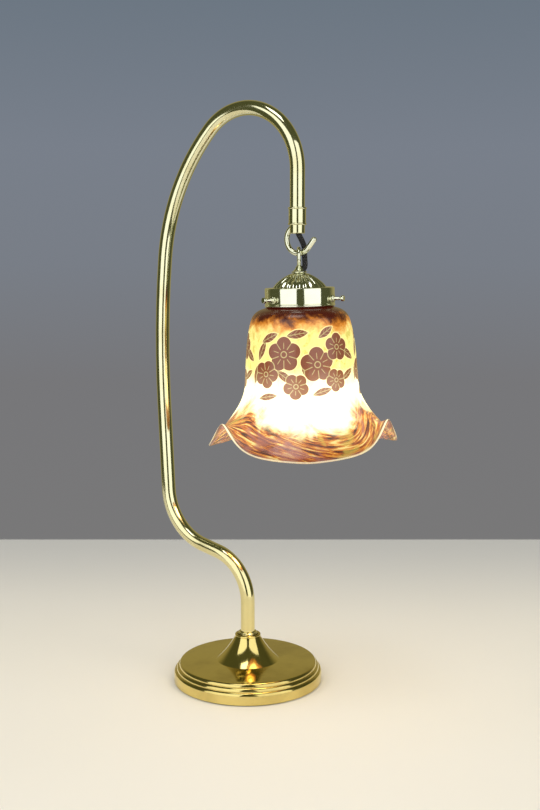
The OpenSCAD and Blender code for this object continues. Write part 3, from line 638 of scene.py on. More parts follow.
def braid(lamp):
    """Black braid: two crossed spirals of threads, with fine light flecks. It reads the flex's own UV map."""
    f = Finish("Braided flex")
    uv = f.node("ShaderNodeTexCoord", output="UV")
    along, around = [f.node("ShaderNodeSeparateXYZ", None, {"Vector": uv}, i) for i in range(2)]
    one, two = [((around * 6 + along * way * 15) * (2 * math.pi)).sin() for way in (1, -1)]
    weave = (one.most(two) * 0.5 + 0.5) ** 0.6
    flecks = f.noise(f.point(along * 40, around * 16, 0), 1, 2).ease(0.6, 0.72) * weave
    base = f.mix(weave, (0.004, 0.004, 0.004), lamp.finish.flex)
    base = f.mix(flecks * 0.75, base, (0.3, 0.28, 0.25))
    return f.surface(Base_Color=base, Roughness=0.75 - 0.2 * flecks, Normal=f.bump(weave, 0.9, 0.35))


def inner_flex(lamp):
    """The same braid on Object coordinates, for the flex that is hidden in the tube and the foot."""
    f = Finish("Braided flex inside")
    x, y, z = f.in_frame((0, 0, 0), (0, 0, 0))
    one = ((x + y) * 1.6 + z * 2.4).sin()
    two = ((x - y) * 1.6 - z * 2.4).sin()
    weave = one.most(two) * 0.5 + 0.5
    base = f.mix(weave, (0.004, 0.004, 0.004), lamp.finish.flex)
    return f.surface(Base_Color=base, Roughness=0.6 + 0.2 * weave, Normal=f.bump(weave, 0.8, 0.3))


def clear_glass(lamp):
    """Clear glass of the bulb's stem."""
    f = Finish("Clear glass")
    seed = f.noise(f.place(), 500, 2)
    base = f.mix(seed, (0.9, 0.93, 0.92), (0.97, 0.98, 0.97))
    return f.surface(Base_Color=base, Roughness=0.08 + 0.05 * seed, Transmission_Weight=0.9)


def lit_bulb(lamp):
    """Frosted glass of the lit bulb."""
    f = Finish("Lit frosted glass")
    _, _, z = f.in_frame(*hung_place(lamp))
    frost = f.noise(f.place(), 900, 2)
    neck = z.ease(GLOBE_MIDDLE + 25, GLOBE_MIDDLE + 48)
    light = f.mix(neck, (1.0, 0.86, 0.62), (0.5, 0.36, 0.18))
    base = f.mix(frost, (0.86, 0.85, 0.82), (0.95, 0.94, 0.92))
    return f.surface(Base_Color=base, Roughness=0.45 + 0.2 * frost, Emission_Color=light, Emission_Strength=7.0,
                     Normal=f.bump(frost, 0.1, 0.1))


def painted_glass(lamp):
    """The shade: an etched yellow ground with glossy enamel on the shoulder, the flower sprigs and the skirt."""
    shade = lamp.shade
    f = Finish("Painted glass")
    x, y, z = f.in_frame(*hung_place(lamp))
    p = f.place()
    around = x.angle_to(-y)
    across = (around * math.degrees(1) - FIRST_FOLD) % PETAL_TURN - PETAL_TURN / 2
    fold = abs(across).ease(60 - math.degrees(shade.fold_width) * 1.4, 57)
    rim = f.node("ShaderNodeAttribute", {"attribute_name": "rim_distance"}, output="Fac")
    cloud = f.noise(p, 55, 5, 0.6, 0.8)
    fine = f.noise(p, 210, 4, 0.6, 0.5)

    # The ground: lemon on the bell, marbled with olive, and amber towards the shoulder
    marbling = f.noise(p * (1, 1, 0.55), 105, 5, 0.65, 1.6)
    ground = f.mix(marbling.ease(0.5, 0.66) * 0.75, shade.lemon, (0.52, 0.46, 0.07))
    ground = f.mix(marbling.ease(0.42, 0.3) * 0.5, ground, (0.92, 0.84, 0.42))
    amber_top = (z + (cloud - 0.5) * 30 + (fine - 0.5) * 10).ease(BAND_FOOT - 25, BAND_FOOT - 11)
    ground = f.mix(amber_top, ground, shade.amber)
    brown_top = (z + (cloud - 0.5) * 24 + (fine - 0.5) * 12).ease(BAND_FOOT - 16, BAND_FOOT - 5)
    ground = f.mix(brown_top, ground, shade.shoulder)

    # The skirt: streaks that run along the rim in long shallow waves, from cream over amber to brown and mauve
    low = (rim + (cloud - 0.5) * 30).ease(36, 22)
    wave = rim + 9 * (around * 3 - math.radians(3 * FIRST_FOLD + 180)).sin()
    streaks = f.noise(f.point(around.cos() * 4, around.sin() * 4, wave * 0.5), 1, 5, 0.6, 0.5)
    patches = f.noise(f.point(around.cos() * 3, around.sin() * 3, wave * 0.06), 1, 3, 0.5, 0.3)
    streaked = f.ramp(streaks, (0.36, (0.95, 0.72, 0.24)), (0.43, (0.8, 0.34, 0.04)), (0.49, (0.56, 0.14, 0.012)),
                      (0.55, (0.3, 0.055, 0.01)), (0.62, (0.06, 0.012, 0.005)))
    streaked = f.mix(patches.ease(0.53, 0.62) * 0.6, streaked, (0.42, 0.15, 0.12))
    streaked = f.mix(patches.ease(0.45, 0.36) * 0.55, streaked, (0.62, 0.46, 0.06))
    ground = f.mix(low, ground, streaked)

    # Sprigs on each petal: blossoms of rounded petals and veined leaves, with thin pale outlines
    tint = f.mix((z + (cloud - 0.5) * 60).ease(-92, -112), shade.blossom, (0.36, 0.075, 0.01))

    def paint(base, drawn, edge, veins):
        """Fills where edge is above 0, in millimetres, with a pale line round it and pale veins."""
        base = f.mix(edge.ease(-1.0, -0.7) * 0.9, base, PALE_LINE)
        inside = edge.ease(-0.15, 0.15)
        base = f.mix(inside * 0.95, base, tint)
        return f.mix(veins * inside * 0.85, base, PALE_LINE), drawn.most(inside)

    def blossom(base, drawn, at, height, size, start):
        dx, dy = (across - at) * MM_TO_A_DEGREE, z - height
        reach = (dx * dx + dy * dy) ** 0.5
        step = 2 * math.pi / BLOSSOM_PETALS
        round_it = (dy.angle_to(dx) + start + 4 * math.pi) % step - step / 2
        ahead, aside = reach * round_it.cos(), abs(reach * round_it.sin())
        edge = size * 0.46 - ((ahead - size * 0.54) ** 2 + aside * aside) ** 0.5
        outside_ring = reach.ease(size * 0.3, size * 0.36)
        seam = (reach * math.sin(step / 2) * 1.02 - aside).ease(0.55, 0.2) * outside_ring
        vein = aside.ease(0.42, 0.15) * outside_ring * reach.ease(size * 0.72, size * 0.6)
        ring = abs(reach - size * 0.17).ease(0.6, 0.25)
        return paint(base, drawn, edge.most(size * 0.26 - reach), seam.most(vein).most(ring))

    def leaf(base, drawn, at, height, size, wide, slope):
        c, s = math.cos(math.radians(slope)), math.sin(math.radians(slope))
        dx, dy = (across - at) * MM_TO_A_DEGREE, z - height
        along, side = dx * c + dy * s, dy * c - dx * s
        side = side + along * along * (0.03 / size)
        edge = wide * (1 - (along / size) ** 2) - abs(side)
        ribs = ((along - abs(side) * 1.3) * 1.5).sin().ease(0.8, 0.97) * 0.7
        return paint(base, drawn, edge, abs(side).ease(0.45, 0.15).most(ribs))

    drawn = z * 0
    for item in LEAVES:
        ground, drawn = leaf(ground, drawn, *item)
    for item in BLOSSOMS:
        ground, drawn = blossom(ground, drawn, *item)
    enamel = drawn.most(low).most(amber_top)

    # The pale edge, and the dark line beside it, strongest at the folds
    line = rim.ease(3.8, 2.4) * rim.ease(1.2, 1.6)
    ground = f.mix(line * (0.3 + 0.6 * fold), ground, (0.14, 0.045, 0.02))
    ground = f.mix(rim.ease(1.7, 1.1), ground, (0.95, 0.82, 0.52))

    # Light of the bulb: strongest round its globe, dimmer through the enamel
    middle = GLOBE_MIDDLE + (cloud - 0.5) * 16
    glow = 0.6 + 0.5 * 2.7183 ** (-(((z - GLOBE_MIDDLE) / 34) ** 2))
    glow = glow * (1 - 0.45 * z.ease(GLOBE_MIDDLE - 8, GLOBE_MIDDLE - 34))
    through = 1 - drawn * 0.5 - low * 0.15
    hot = (z - middle).ease(-38, -20) * (z - middle).ease(38, 17) * (1 - low * 0.93) * (1 - drawn * 0.85)
    light = ground * (glow * through * (1 - brown_top * 0.4)) + f.mix(hot, (0, 0, 0), (1.0, 0.94, 0.72)) * 1.2
    height = f.bump(fine * 0.5 + drawn + streaks * low, 0.12, 0.3)
    base = ground * (0.75 - 0.2 * hot - 0.3 * drawn - 0.2 * low)
    return f.surface(Base_Color=base, Roughness=0.6 - 0.36 * enamel + 0.06 * fine, Coat_Weight=enamel * 0.2,
                     Coat_Roughness=0.05, Emission_Color=light, Emission_Strength=0.9, Normal=height)


PAINTS = {paint.__name__: paint for paint in (
    polished_brass, foot_brass, gallery_brass, iron, felt, black_bush, braid, inner_flex, steel, porcelain, cap_metal,
    filament, clear_glass, lit_bulb, painted_glass)}


# ---- The lamp's pieces

class LAMP_OT_stage(bpy.types.Operator):
    """Adds the camera, the pale floor, the soft lamps and the plain backdrop"""
    bl_idname = "lamp.stage"
    bl_label = "Stage"

    def execute(self, context):
        studio = context.scene.tulip_lamp.studio
        turn = studio.turn
        right = Vector((math.cos(turn), math.sin(turn), 0))
        back = Vector((math.sin(turn), -math.cos(turn), 0))
        clear()
        place = right * studio.aside * MM + back * studio.distance * MM + Vector((0, 0, studio.height * MM))
        bpy.ops.object.camera_add(location=place, rotation=(math.pi / 2 - studio.dip, 0, turn))
        camera = context.object
        camera.data.lens = 50
        camera.data.sensor_fit = "AUTO"
        camera.data.sensor_width = 36
        camera.data.clip_start = 0.05
        context.scene.camera = camera

        self.floor(context)
        for name, aside, out, up, wide, tall, power in SOFTBOXES:
            a = math.radians(aside)
            spot = right * out * math.sin(a) + back * out * math.cos(a) + Vector((0, 0, up))
            aim = (LAMPS_AIM - spot).to_track_quat("-Z", "Y").to_euler()
            clear()
            bpy.ops.object.light_add(type="AREA", location=spot, rotation=aim)
            lamp = context.object
            lamp.name = name
            lamp.data.shape = "RECTANGLE"
            lamp.data.size, lamp.data.size_y, lamp.data.energy = wide, tall, power
        self.backdrop(context, back)
        context.scene.view_settings.view_transform = "Standard"
        return {"FINISHED"}

    def floor(self, context):
        """A pale table top with painted shade that darkens it towards its far edge; it ends there, before the backdrop.
        """
        clear()
        bpy.ops.mesh.primitive_circle_add(vertices=96, radius=0.9, fill_type="NGON")
        disc = start_edit("Floor")
        bpy.ops.mesh.inset(thickness=0.4)
        f = Finish("Pale floor")
        _, far, _ = f.in_frame((0, 0, 0), (0, 0, context.scene.tulip_lamp.studio.turn))
        cloud = f.noise(f.place(), 3, 2)
        cream = f.mix(cloud, (0.82, 0.77, 0.66), (0.86, 0.81, 0.71))
        # Painted shade: the cream turns grey from 100 mm to 560 mm towards the far edge
        shader = f.node("ShaderNodeBsdfPrincipled", None,
                        {"Base Color": f.mix(far.ease(100, 560), cream, (0.6, 0.59, 0.56)), "Roughness": 0.6})
        clear_part = f.node("ShaderNodeBsdfTransparent")
        both = f.node("ShaderNodeMixShader", None, {0: far.ease(TABLE_END, TABLE_END + 10), 1: shader, 2: clear_part})
        f.node("ShaderNodeOutputMaterial", None, {"Surface": both})
        settle(disc, f.material, None)

    def backdrop(self, context, facing):
        """A soft grey that turns a little bluer higher up. Metal shows a warm wall behind and dark olive elsewhere."""
        world = bpy.data.worlds.new("Backdrop")
        world.use_nodes = True
        context.scene.world = world
        f = Finish("Backdrop", world.node_tree)
        direction = f.node("ShaderNodeTexCoord", output="Generated")
        height = f.node("ShaderNodeSeparateXYZ", None, {"Vector": direction}, 2)
        shown = f.ramp(height * 0.5 + 0.5, (0.38, (0.19, 0.188, 0.188)), (0.45, (0.184, 0.184, 0.192)),
                       (0.5, (0.19, 0.208, 0.24)), (0.55, (0.19, 0.214, 0.256)), (0.62, (0.145, 0.18, 0.22)))
        front = f.node("ShaderNodeVectorMath", {"operation": "DOT_PRODUCT"}, {0: direction, 1: facing}, "Value")
        mirrored = f.mix(0.85, shown, (0.36, 0.31, 0.12))
        mirrored = f.mix(front.ease(-0.85, -0.35), mirrored, (0.075, 0.08, 0.035))
        camera, glossy, through = [f.node("ShaderNodeLightPath", output=name)
                                   for name in ("Is Camera Ray", "Is Glossy Ray", "Is Transmission Ray")]
        seen = camera.most(glossy).most(through)
        light = f.node("ShaderNodeBackground", None, {"Color": (0.5, 0.5, 0.49), "Strength": 1.35})
        show = f.node("ShaderNodeBackground", None, {"Color": f.mix(glossy, shown, mirrored), "Strength": 1.0})
        both = f.node("ShaderNodeMixShader", None, {0: seen, 1: light, 2: show})
        f.node("ShaderNodeOutputWorld", None, {"Surface": both})


class LAMP_OT_foot(bpy.types.Operator):
    """Turns the foot from its band over three reeds and up the trumpet to the rolled neck rim"""
    bl_idname = "lamp.foot"
    bl_label = "Foot"

    def execute(self, context):
        foot = context.scene.tulip_lamp.foot
        wall, lip = 1.0, 1.3
        disc_r, disc_z = foot.radius - 3 * foot.reed_width, foot.band + 3 * foot.reed_rise
        slope = math.radians(2.4)
        crease = (foot.crease, disc_z + (disc_r - foot.crease) * math.tan(slope))
        rim = (foot.neck_radius - lip, foot.neck - lip)
        top = (rim[0] + 0.6 * lip, rim[1] - 0.3 * lip)
        chord = math.atan2(top[1] - crease[1], crease[0] - top[0])
        steep_end = 63
        steep = math.radians(steep_end)
        radius = math.dist(top, crease) / (2 * math.sin(steep - chord))
        centre = (top[0] + radius * math.sin(steep), top[1] + radius * math.cos(steep))
        first, last = 270 - math.degrees(2 * chord - steep), 270 - steep_end

        outline = [(foot.radius - wall, 0.8), (foot.radius - 0.25, 0.8), (foot.radius, 1.1)]
        for i in range(3):
            outline += [(foot.radius - (i + 1) * foot.reed_width + foot.reed_width * math.cos(math.radians(a)),
                         foot.band + i * foot.reed_rise + foot.reed_rise * math.sin(math.radians(a)))
                        for a in range(0, 91, 10)]
        for share in (0.15, 0.5, 0.85):
            outline.append((disc_r + (crease[0] - disc_r) * share, disc_z + (crease[1] - disc_z) * share))
        outline += bow(*centre, radius, first, last, 20)[:-1]
        outline += bow(*rim, lip, -30, 250, 14)
        outline += bow(*centre, radius + wall, last, first, 14)[2:]
        under = disc_z - wall
        outline += [(crease[0] - 0.5, crease[1] - wall), (disc_r, under), (foot.radius - wall, foot.band)]
        shell = turned("foot_shell", outline, 192)
        bush_radius, bush_height = 3.72, 5.3
        hole = rod_between("bush_hole", bush_radius, (-foot.radius - 3, 0, bush_height),
                           (-foot.radius + 4, 0, bush_height))
        cut_with(shell, hole)
        settle(shell, finish("foot_brass"), "stand", ["base_shell"], 28)

        collar = turned("neck_collar_ring", [(TUBE_HOLE, 39.3), (9.0, 39.3)] + bow(8.3, 44.9, 0.8, -60, 60, 6)
                        + bow(7.6, 46.2, 0.7, -20, 90, 5) + [(TUBE_HOLE, 46.9)])
        settle(collar, finish("polished_brass"), "stand", ["neck_collar"])
        return {"FINISHED"}


class LAMP_OT_stem(bpy.types.Operator):
    """Draws the tube up from the foot and spins it round its bends"""
    bl_idname = "lamp.stem"
    bl_label = "Stem"

    def execute(self, context):
        stem = context.scene.tulip_lamp.stem
        tube = draw_ring("bent_tube", 48, stem.radius, (0, 0, stem.start))
        x, z, heading = 0.0, stem.start, 90.0
        for size, turn in stem_stretches(stem):
            x2, z2 = stretch_end(x, z, heading, size, turn)
            if turn == 0:
                bpy.ops.mesh.extrude_region_move(
                    TRANSFORM_OT_translate={"value": ((x2 - x) * MM, 0, (z2 - z) * MM)})
            else:
                a, s = math.radians(heading), math.copysign(size, turn)
                centre = Vector((x - s * math.sin(a), 0, z + s * math.cos(a))) * MM
                bpy.ops.mesh.spin(steps=max(6, round(abs(turn) / 2.5)), angle=math.radians(abs(turn)), center=centre,
                                  axis=(0, math.copysign(1, turn), 0))
                heading += turn
            x, z = x2, z2
        heal()
        work(tube, "SOLIDIFY", thickness=stem.wall * MM, offset=-1, use_even_offset=True)
        settle(tube, finish("polished_brass"), "stand", ["stem_tube"], 50)
        return {"FINISHED"}


class LAMP_OT_hook(bpy.types.Operator):
    """Turns the ferrule and the nipple and bends the hook from a round rod"""
    bl_idname = "lamp.hook"
    bl_label = "Ferrule and hook"

    def execute(self, context):
        lamp = context.scene.tulip_lamp
        x, ferrule, nipple, bowl, _ = hook_places(lamp)
        size = lamp.hook
        round_off = 0.85
        bead, top = size.bead - round_off, ferrule + FERRULE_HEIGHT
        outline = [(TUBE_HOLE, ferrule)] + bow(bead, ferrule + round_off, round_off, -90, 90, 8)
        outline += [(size.ferrule, ferrule + 1.75), (size.ferrule, top - 1.75)]
        outline += bow(bead, top - round_off, round_off, -90, 90, 8) + [(TUBE_HOLE, top)]
        piece = turned("beaded_ferrule", outline, 64, x)
        settle(piece, finish("polished_brass"), "stand", ["stem_ferrule"], 40)

        r, low, high = size.nipple, nipple, ferrule + 0.5
        outline = [(4.3, low)] + bow(r - 0.6, low + 0.6, 0.6, -90, 0, 5) + [(r, high), (4.0, high), (4.0, low + 0.3)]
        piece = turned("open_nipple", outline, 64, x)
        settle(piece, finish("polished_brass"), "stand", ["hook_nipple"], 40)

        middle = Vector((x + BOWL_AHEAD, 0, bowl))
        from_a, to_a, tip_a = 118, 320, 50
        start = middle + size.bowl * direction(from_a)
        rod = draw_ring("bent_hook", 24, size.rod, start, (0, math.radians(-from_a), 0))
        bpy.ops.mesh.spin(steps=64, angle=math.radians(to_a - from_a), center=middle * MM, axis=(0, 1, 0))
        ahead = direction(tip_a)
        bpy.ops.mesh.extrude_region_move(TRANSFORM_OT_translate={"value": ahead * size.tip * MM})
        end = middle + size.bowl * direction(to_a) + ahead * size.tip
        for a, b in zip(range(0, 90, 15), range(15, 91, 15)):
            a, b = math.radians(a), math.radians(b)
            step = size.rod * (math.sin(b) - math.sin(a))
            bpy.ops.mesh.extrude_region_move(TRANSFORM_OT_translate={"value": ahead * step * MM})
            end += ahead * step
            share = max(math.cos(b), 0.0005) / math.cos(a)
            bpy.ops.transform.resize(value=(share, share, share), center_override=end * MM)
        heal()
        bpy.ops.mesh.select_all(action="DESELECT")
        bpy.ops.mesh.select_non_manifold()
        bpy.ops.mesh.edge_face_add()
        heal()
        cut_with(rod, rod_between("nipple_place", size.nipple - 0.7, (x, 0, nipple - 2), (x, 0, ferrule + 12)))
        settle(rod, finish("gallery_brass"), "stand", ["hook"], 50)
        return {"FINISHED"}


class LAMP_OT_flex(bpy.types.Operator):
    """Leads the two visible lengths of flex from the nipple past the hook and into the cup"""
    bl_idname = "lamp.flex"
    bl_label = "Flex"

    def execute(self, context):
        lamp = context.scene.tulip_lamp
        x, _, nipple, _, pivot = hook_places(lamp)
        turned_only = Matrix.Translation(Vector((x, 0, pivot)) * MM) @ Matrix.Rotation(HANG_TURN, 4, "Z")
        upper = [(0.6, 0.3, nipple + 1.1 - pivot)] + UPPER_FLEX
        lower = LOWER_FLEX + [(a, b, c + CUP_TOP) for a, b, c in CUP_FLEX]
        for name, route, frame_of, bodies, node in (
                ("flex_above_hook", upper, turned_only, ("stand", "flex_bend"), "hook_flex_upper"),
                ("flex_beside_ring", lower, hung_frame(lamp), ("flex_bend", "hung_shade"), "hook_flex_lower")):
            points = [frame_of @ (Vector(p) * MM) for p in route]
            piece = self.cord(context, name, points)
            settle(piece, finish("braid"), None, [node], 60)
            points[1] if bodies[0] == "stand" else points[0]
            points[-1] if bodies[0] == "stand" else points[-8]
            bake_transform(piece)
        return {"FINISHED"}

    def cord(self, context, name, points):
        """A round cord through the points."""
        line = bpy.data.curves.new(name, "CURVE")
        line.dimensions = "3D"
        line.bevel_depth, line.bevel_resolution, line.use_fill_caps, line.resolution_u = FLEX_RADIUS * MM, 5, True, 6
        spline = line.splines.new("BEZIER")
        spline.bezier_points.add(len(points) - 1)
        for knot, point in zip(spline.bezier_points, points):
            knot.co = point
            knot.handle_left_type = knot.handle_right_type = "AUTO"
        piece = bpy.data.objects.new(name, line)
        context.collection.objects.link(piece)
        take_up(piece)
        bpy.ops.object.convert(target="MESH")
        return context.object


class LAMP_OT_gallery(bpy.types.Operator):
    """Makes the ring, the cup, the fluted dome and the band that holds the glass"""
    bl_idname = "lamp.gallery"
    bl_label = "Gallery"

    def execute(self, context):
        lamp = context.scene.tulip_lamp
        size = lamp.gallery
        frame_of = hung_frame(lamp)

        ring = draw_ring("hanging_ring", 24, size.wire, (0, 0, 0), (math.pi / 2, 0, 0))
        bpy.ops.mesh.spin(steps=72, angle=2 * math.pi, center=(0, 0, -size.ring * MM), axis=(1, 0, 0))
        heal()
        settle(ring, finish("gallery_brass"), "hung_shade", ["suspension_ring"], 60, frame_of)

        top, low = CUP_TOP, CUP_FOOT
        outline = [(0, top + 1.4), (1.8, top + 1.3), (2.5, top + 0.8), (2.9, top), (3.3, top - 0.9), (3.9, top - 1.9)]
        outline += [(4.7, top - 2.9), (5.6, top - 3.7)] + bow(6.3, low + 0.5, 0.5, 110, -90, 8)
        outline += [(0, low)]
        cup = turned("hanging_cup", outline, 64)
        settle(cup, finish("gallery_brass"), "hung_shade", ["loop_cup"], 40, frame_of)

        self.dome(lamp, frame_of)
        self.band(lamp, frame_of)
        return {"FINISHED"}

    def dome(self, lamp, frame_of):
        """A shallow dome drawn in eight points to a flute; the flutes are pressed in ring by ring."""
        size = lamp.gallery
        rise = CUP_FOOT - 0.06 - FLANGE
        shares = [(0.2, 0.01), (0.26, 0.035), (0.34, 0.08), (0.4, 0.125), (0.46, 0.175), (0.52, 0.235), (0.58, 0.3),
                  (0.64, 0.37), (0.7, 0.445), (0.76, 0.53), (0.82, 0.62), (0.88, 0.72), (0.93, 0.82), (0.97, 0.91),
                  (1, 1)]
        outline = [(r * size.dome, FLANGE + rise * (1 - drop)) for r, drop in shares]
        sides = size.flutes * 8
        dome = draw_ring("fluted_dome", sides, outline[0][0], (0, 0, outline[0][1]))
        draw_out(outline)
        bpy.ops.object.mode_set(mode="OBJECT")
        bpy.ops.object.transform_apply(location=True, rotation=True, scale=True)
        columns = {}
        for v in dome.data.vertices:
            level = min(range(len(outline)), key=lambda i: abs(outline[i][1] / 1000 - v.co.z)
                        + abs(outline[i][0] / 1000 - math.hypot(v.co.x, v.co.y)))
            column = round(math.atan2(v.co.x, v.co.y) / (2 * math.pi) * sides) % 8
            columns.setdefault((level, min(column, 8 - column)), []).append(v.index)
        for (level, column), members in columns.items():
            if column == 0 or level == 0:
                continue
            radius = outline[level][0]
            deep = size.flute_depth * min(1, max(0, (radius - 7) / 8)) * (1 - math.cos(math.pi * column / 4)) / 2
            tangent = Vector(outline[min(level + 1, len(outline) - 1)]) - Vector(outline[level - 1])
            tangent.normalize()
            shift(dome.data, members, (radius + deep * tangent[1]) / radius, -deep * tangent[0])
        take_up(dome)
        bpy.ops.object.mode_set(mode="EDIT")
        heal()
        bpy.ops.object.mode_set(mode="OBJECT")
        work(dome, "SOLIDIFY", thickness=0.7 * MM, offset=-1, use_even_offset=False)
        settle(dome, finish("gallery_brass"), "hung_shade", ["gallery_dome"], 60, frame_of)

    def band(self, lamp, frame_of):
        """An upright band between a rounded shoulder and a rolled lip, with a boss for each screw."""
        size = lamp.gallery
        wall, r = 0.8, size.band
        foot = BAND_FOOT + size.lip
        outline = [(5.2, FLANGE)] + bow(r - 1, FLANGE - 1, 1, 90, 0, 5)
        outline += [(r, foot + 1.75), (r - 0.3, foot + 1.5), (r, foot + 1.25)]
        outline += bow(r - size.lip + 0.4, foot, size.lip, 48, -262, 20)
        outline += [(r - wall, foot + 1.4), (r - wall, FLANGE - 1.7), (r - wall - 0.9, FLANGE - 0.9),
                    (5.2, FLANGE - 0.9)]
        band = turned("gallery_band_piece", outline, 128)
        bpy.ops.object.mode_set(mode="OBJECT")
        for azimuth in SCREWS.values():
            a = math.radians(azimuth - 90)
            out = Vector((math.cos(a), math.sin(a), 0))
            level = Vector((0, 0, SCREW_HEIGHT))
            boss = rod_between("boss", 3.2, out * (r - 0.4) + level, out * (r + 1.4) + level, 40)
            work(boss, "BEVEL", width=0.35 * MM, segments=3, limit_method="ANGLE")
            band = join(band, boss)
        settle(band, finish("gallery_brass"), "hung_shade", ["gallery_band"], 40, frame_of)


class LAMP_OT_screws(bpy.types.Operator):
    """Turns one thumb screw with a flared milled head, and copies it to the three bosses"""
    bl_idname = "lamp.screws"
    bl_label = "Thumb screws"

    def execute(self, context):
        lamp = context.scene.tulip_lamp
        tip, end = 27.8, 41.0
        neck = end - 2.6 - tip
        outline = [(0, 0)] + bow(1.0, 0.5, 0.5, -90, 0, 3) + [(1.5, 0.7), (1.5, neck - 2.4), (1.2, neck - 1.8)]
        outline += [(1.2, neck - 0.9), (1.5, neck - 0.3), (2.1, neck + 0.1)] + bow(2.15, neck + 0.6, 0.5, -90, 0, 4)
        outline += bow(2.05, neck + 2.0, 0.6, 0, 90, 5) + [(1.2, neck + 2.45), (0, neck + 2.4)]
        sides = 48
        screw = turned("thumb_screw", outline, sides)
        bpy.ops.mesh.select_all(action="DESELECT")
        bpy.ops.object.mode_set(mode="OBJECT")
        for v in screw.data.vertices:
            v.select = False
        for polygon in screw.data.polygons:
            radius = math.hypot(polygon.center.x, polygon.center.y) / MM
            turn = round((math.atan2(polygon.center.x, polygon.center.y) / (2 * math.pi) * sides) - 0.5) % 2
            polygon.select = radius > 2.4 and turn == 0 and abs(polygon.normal.z) < 0.6
        bpy.ops.object.mode_set(mode="EDIT")
        bpy.ops.mesh.select_mode(type="FACE")
        bpy.ops.transform.resize(value=(0.95, 0.95, 1), center_override=(0, 0, 0))
        bpy.ops.mesh.select_mode(type="VERT")
        heal()
        bpy.ops.object.mode_set(mode="OBJECT")
        frame_of = hung_frame(lamp)
        for name, azimuth in SCREWS.items():
            copy = screw.copy()
            copy.data = screw.data.copy()
            copy.name = copy.data.name = f"thumb_screw_{name}_piece"
            context.collection.objects.link(copy)
            out = (Matrix.Rotation(math.radians(azimuth - 90), 4, "Z")
                   @ Matrix.Translation(Vector((tip, 0, SCREW_HEIGHT)) * MM) @ Matrix.Rotation(math.pi / 2, 4, "Y"))
            settle(copy, finish("gallery_brass"), f"{name}_screw", [f"thumb_screw_{name}"], 40,
                   frame_of @ out)
        bpy.data.objects.remove(screw)
        return {"FINISHED"}


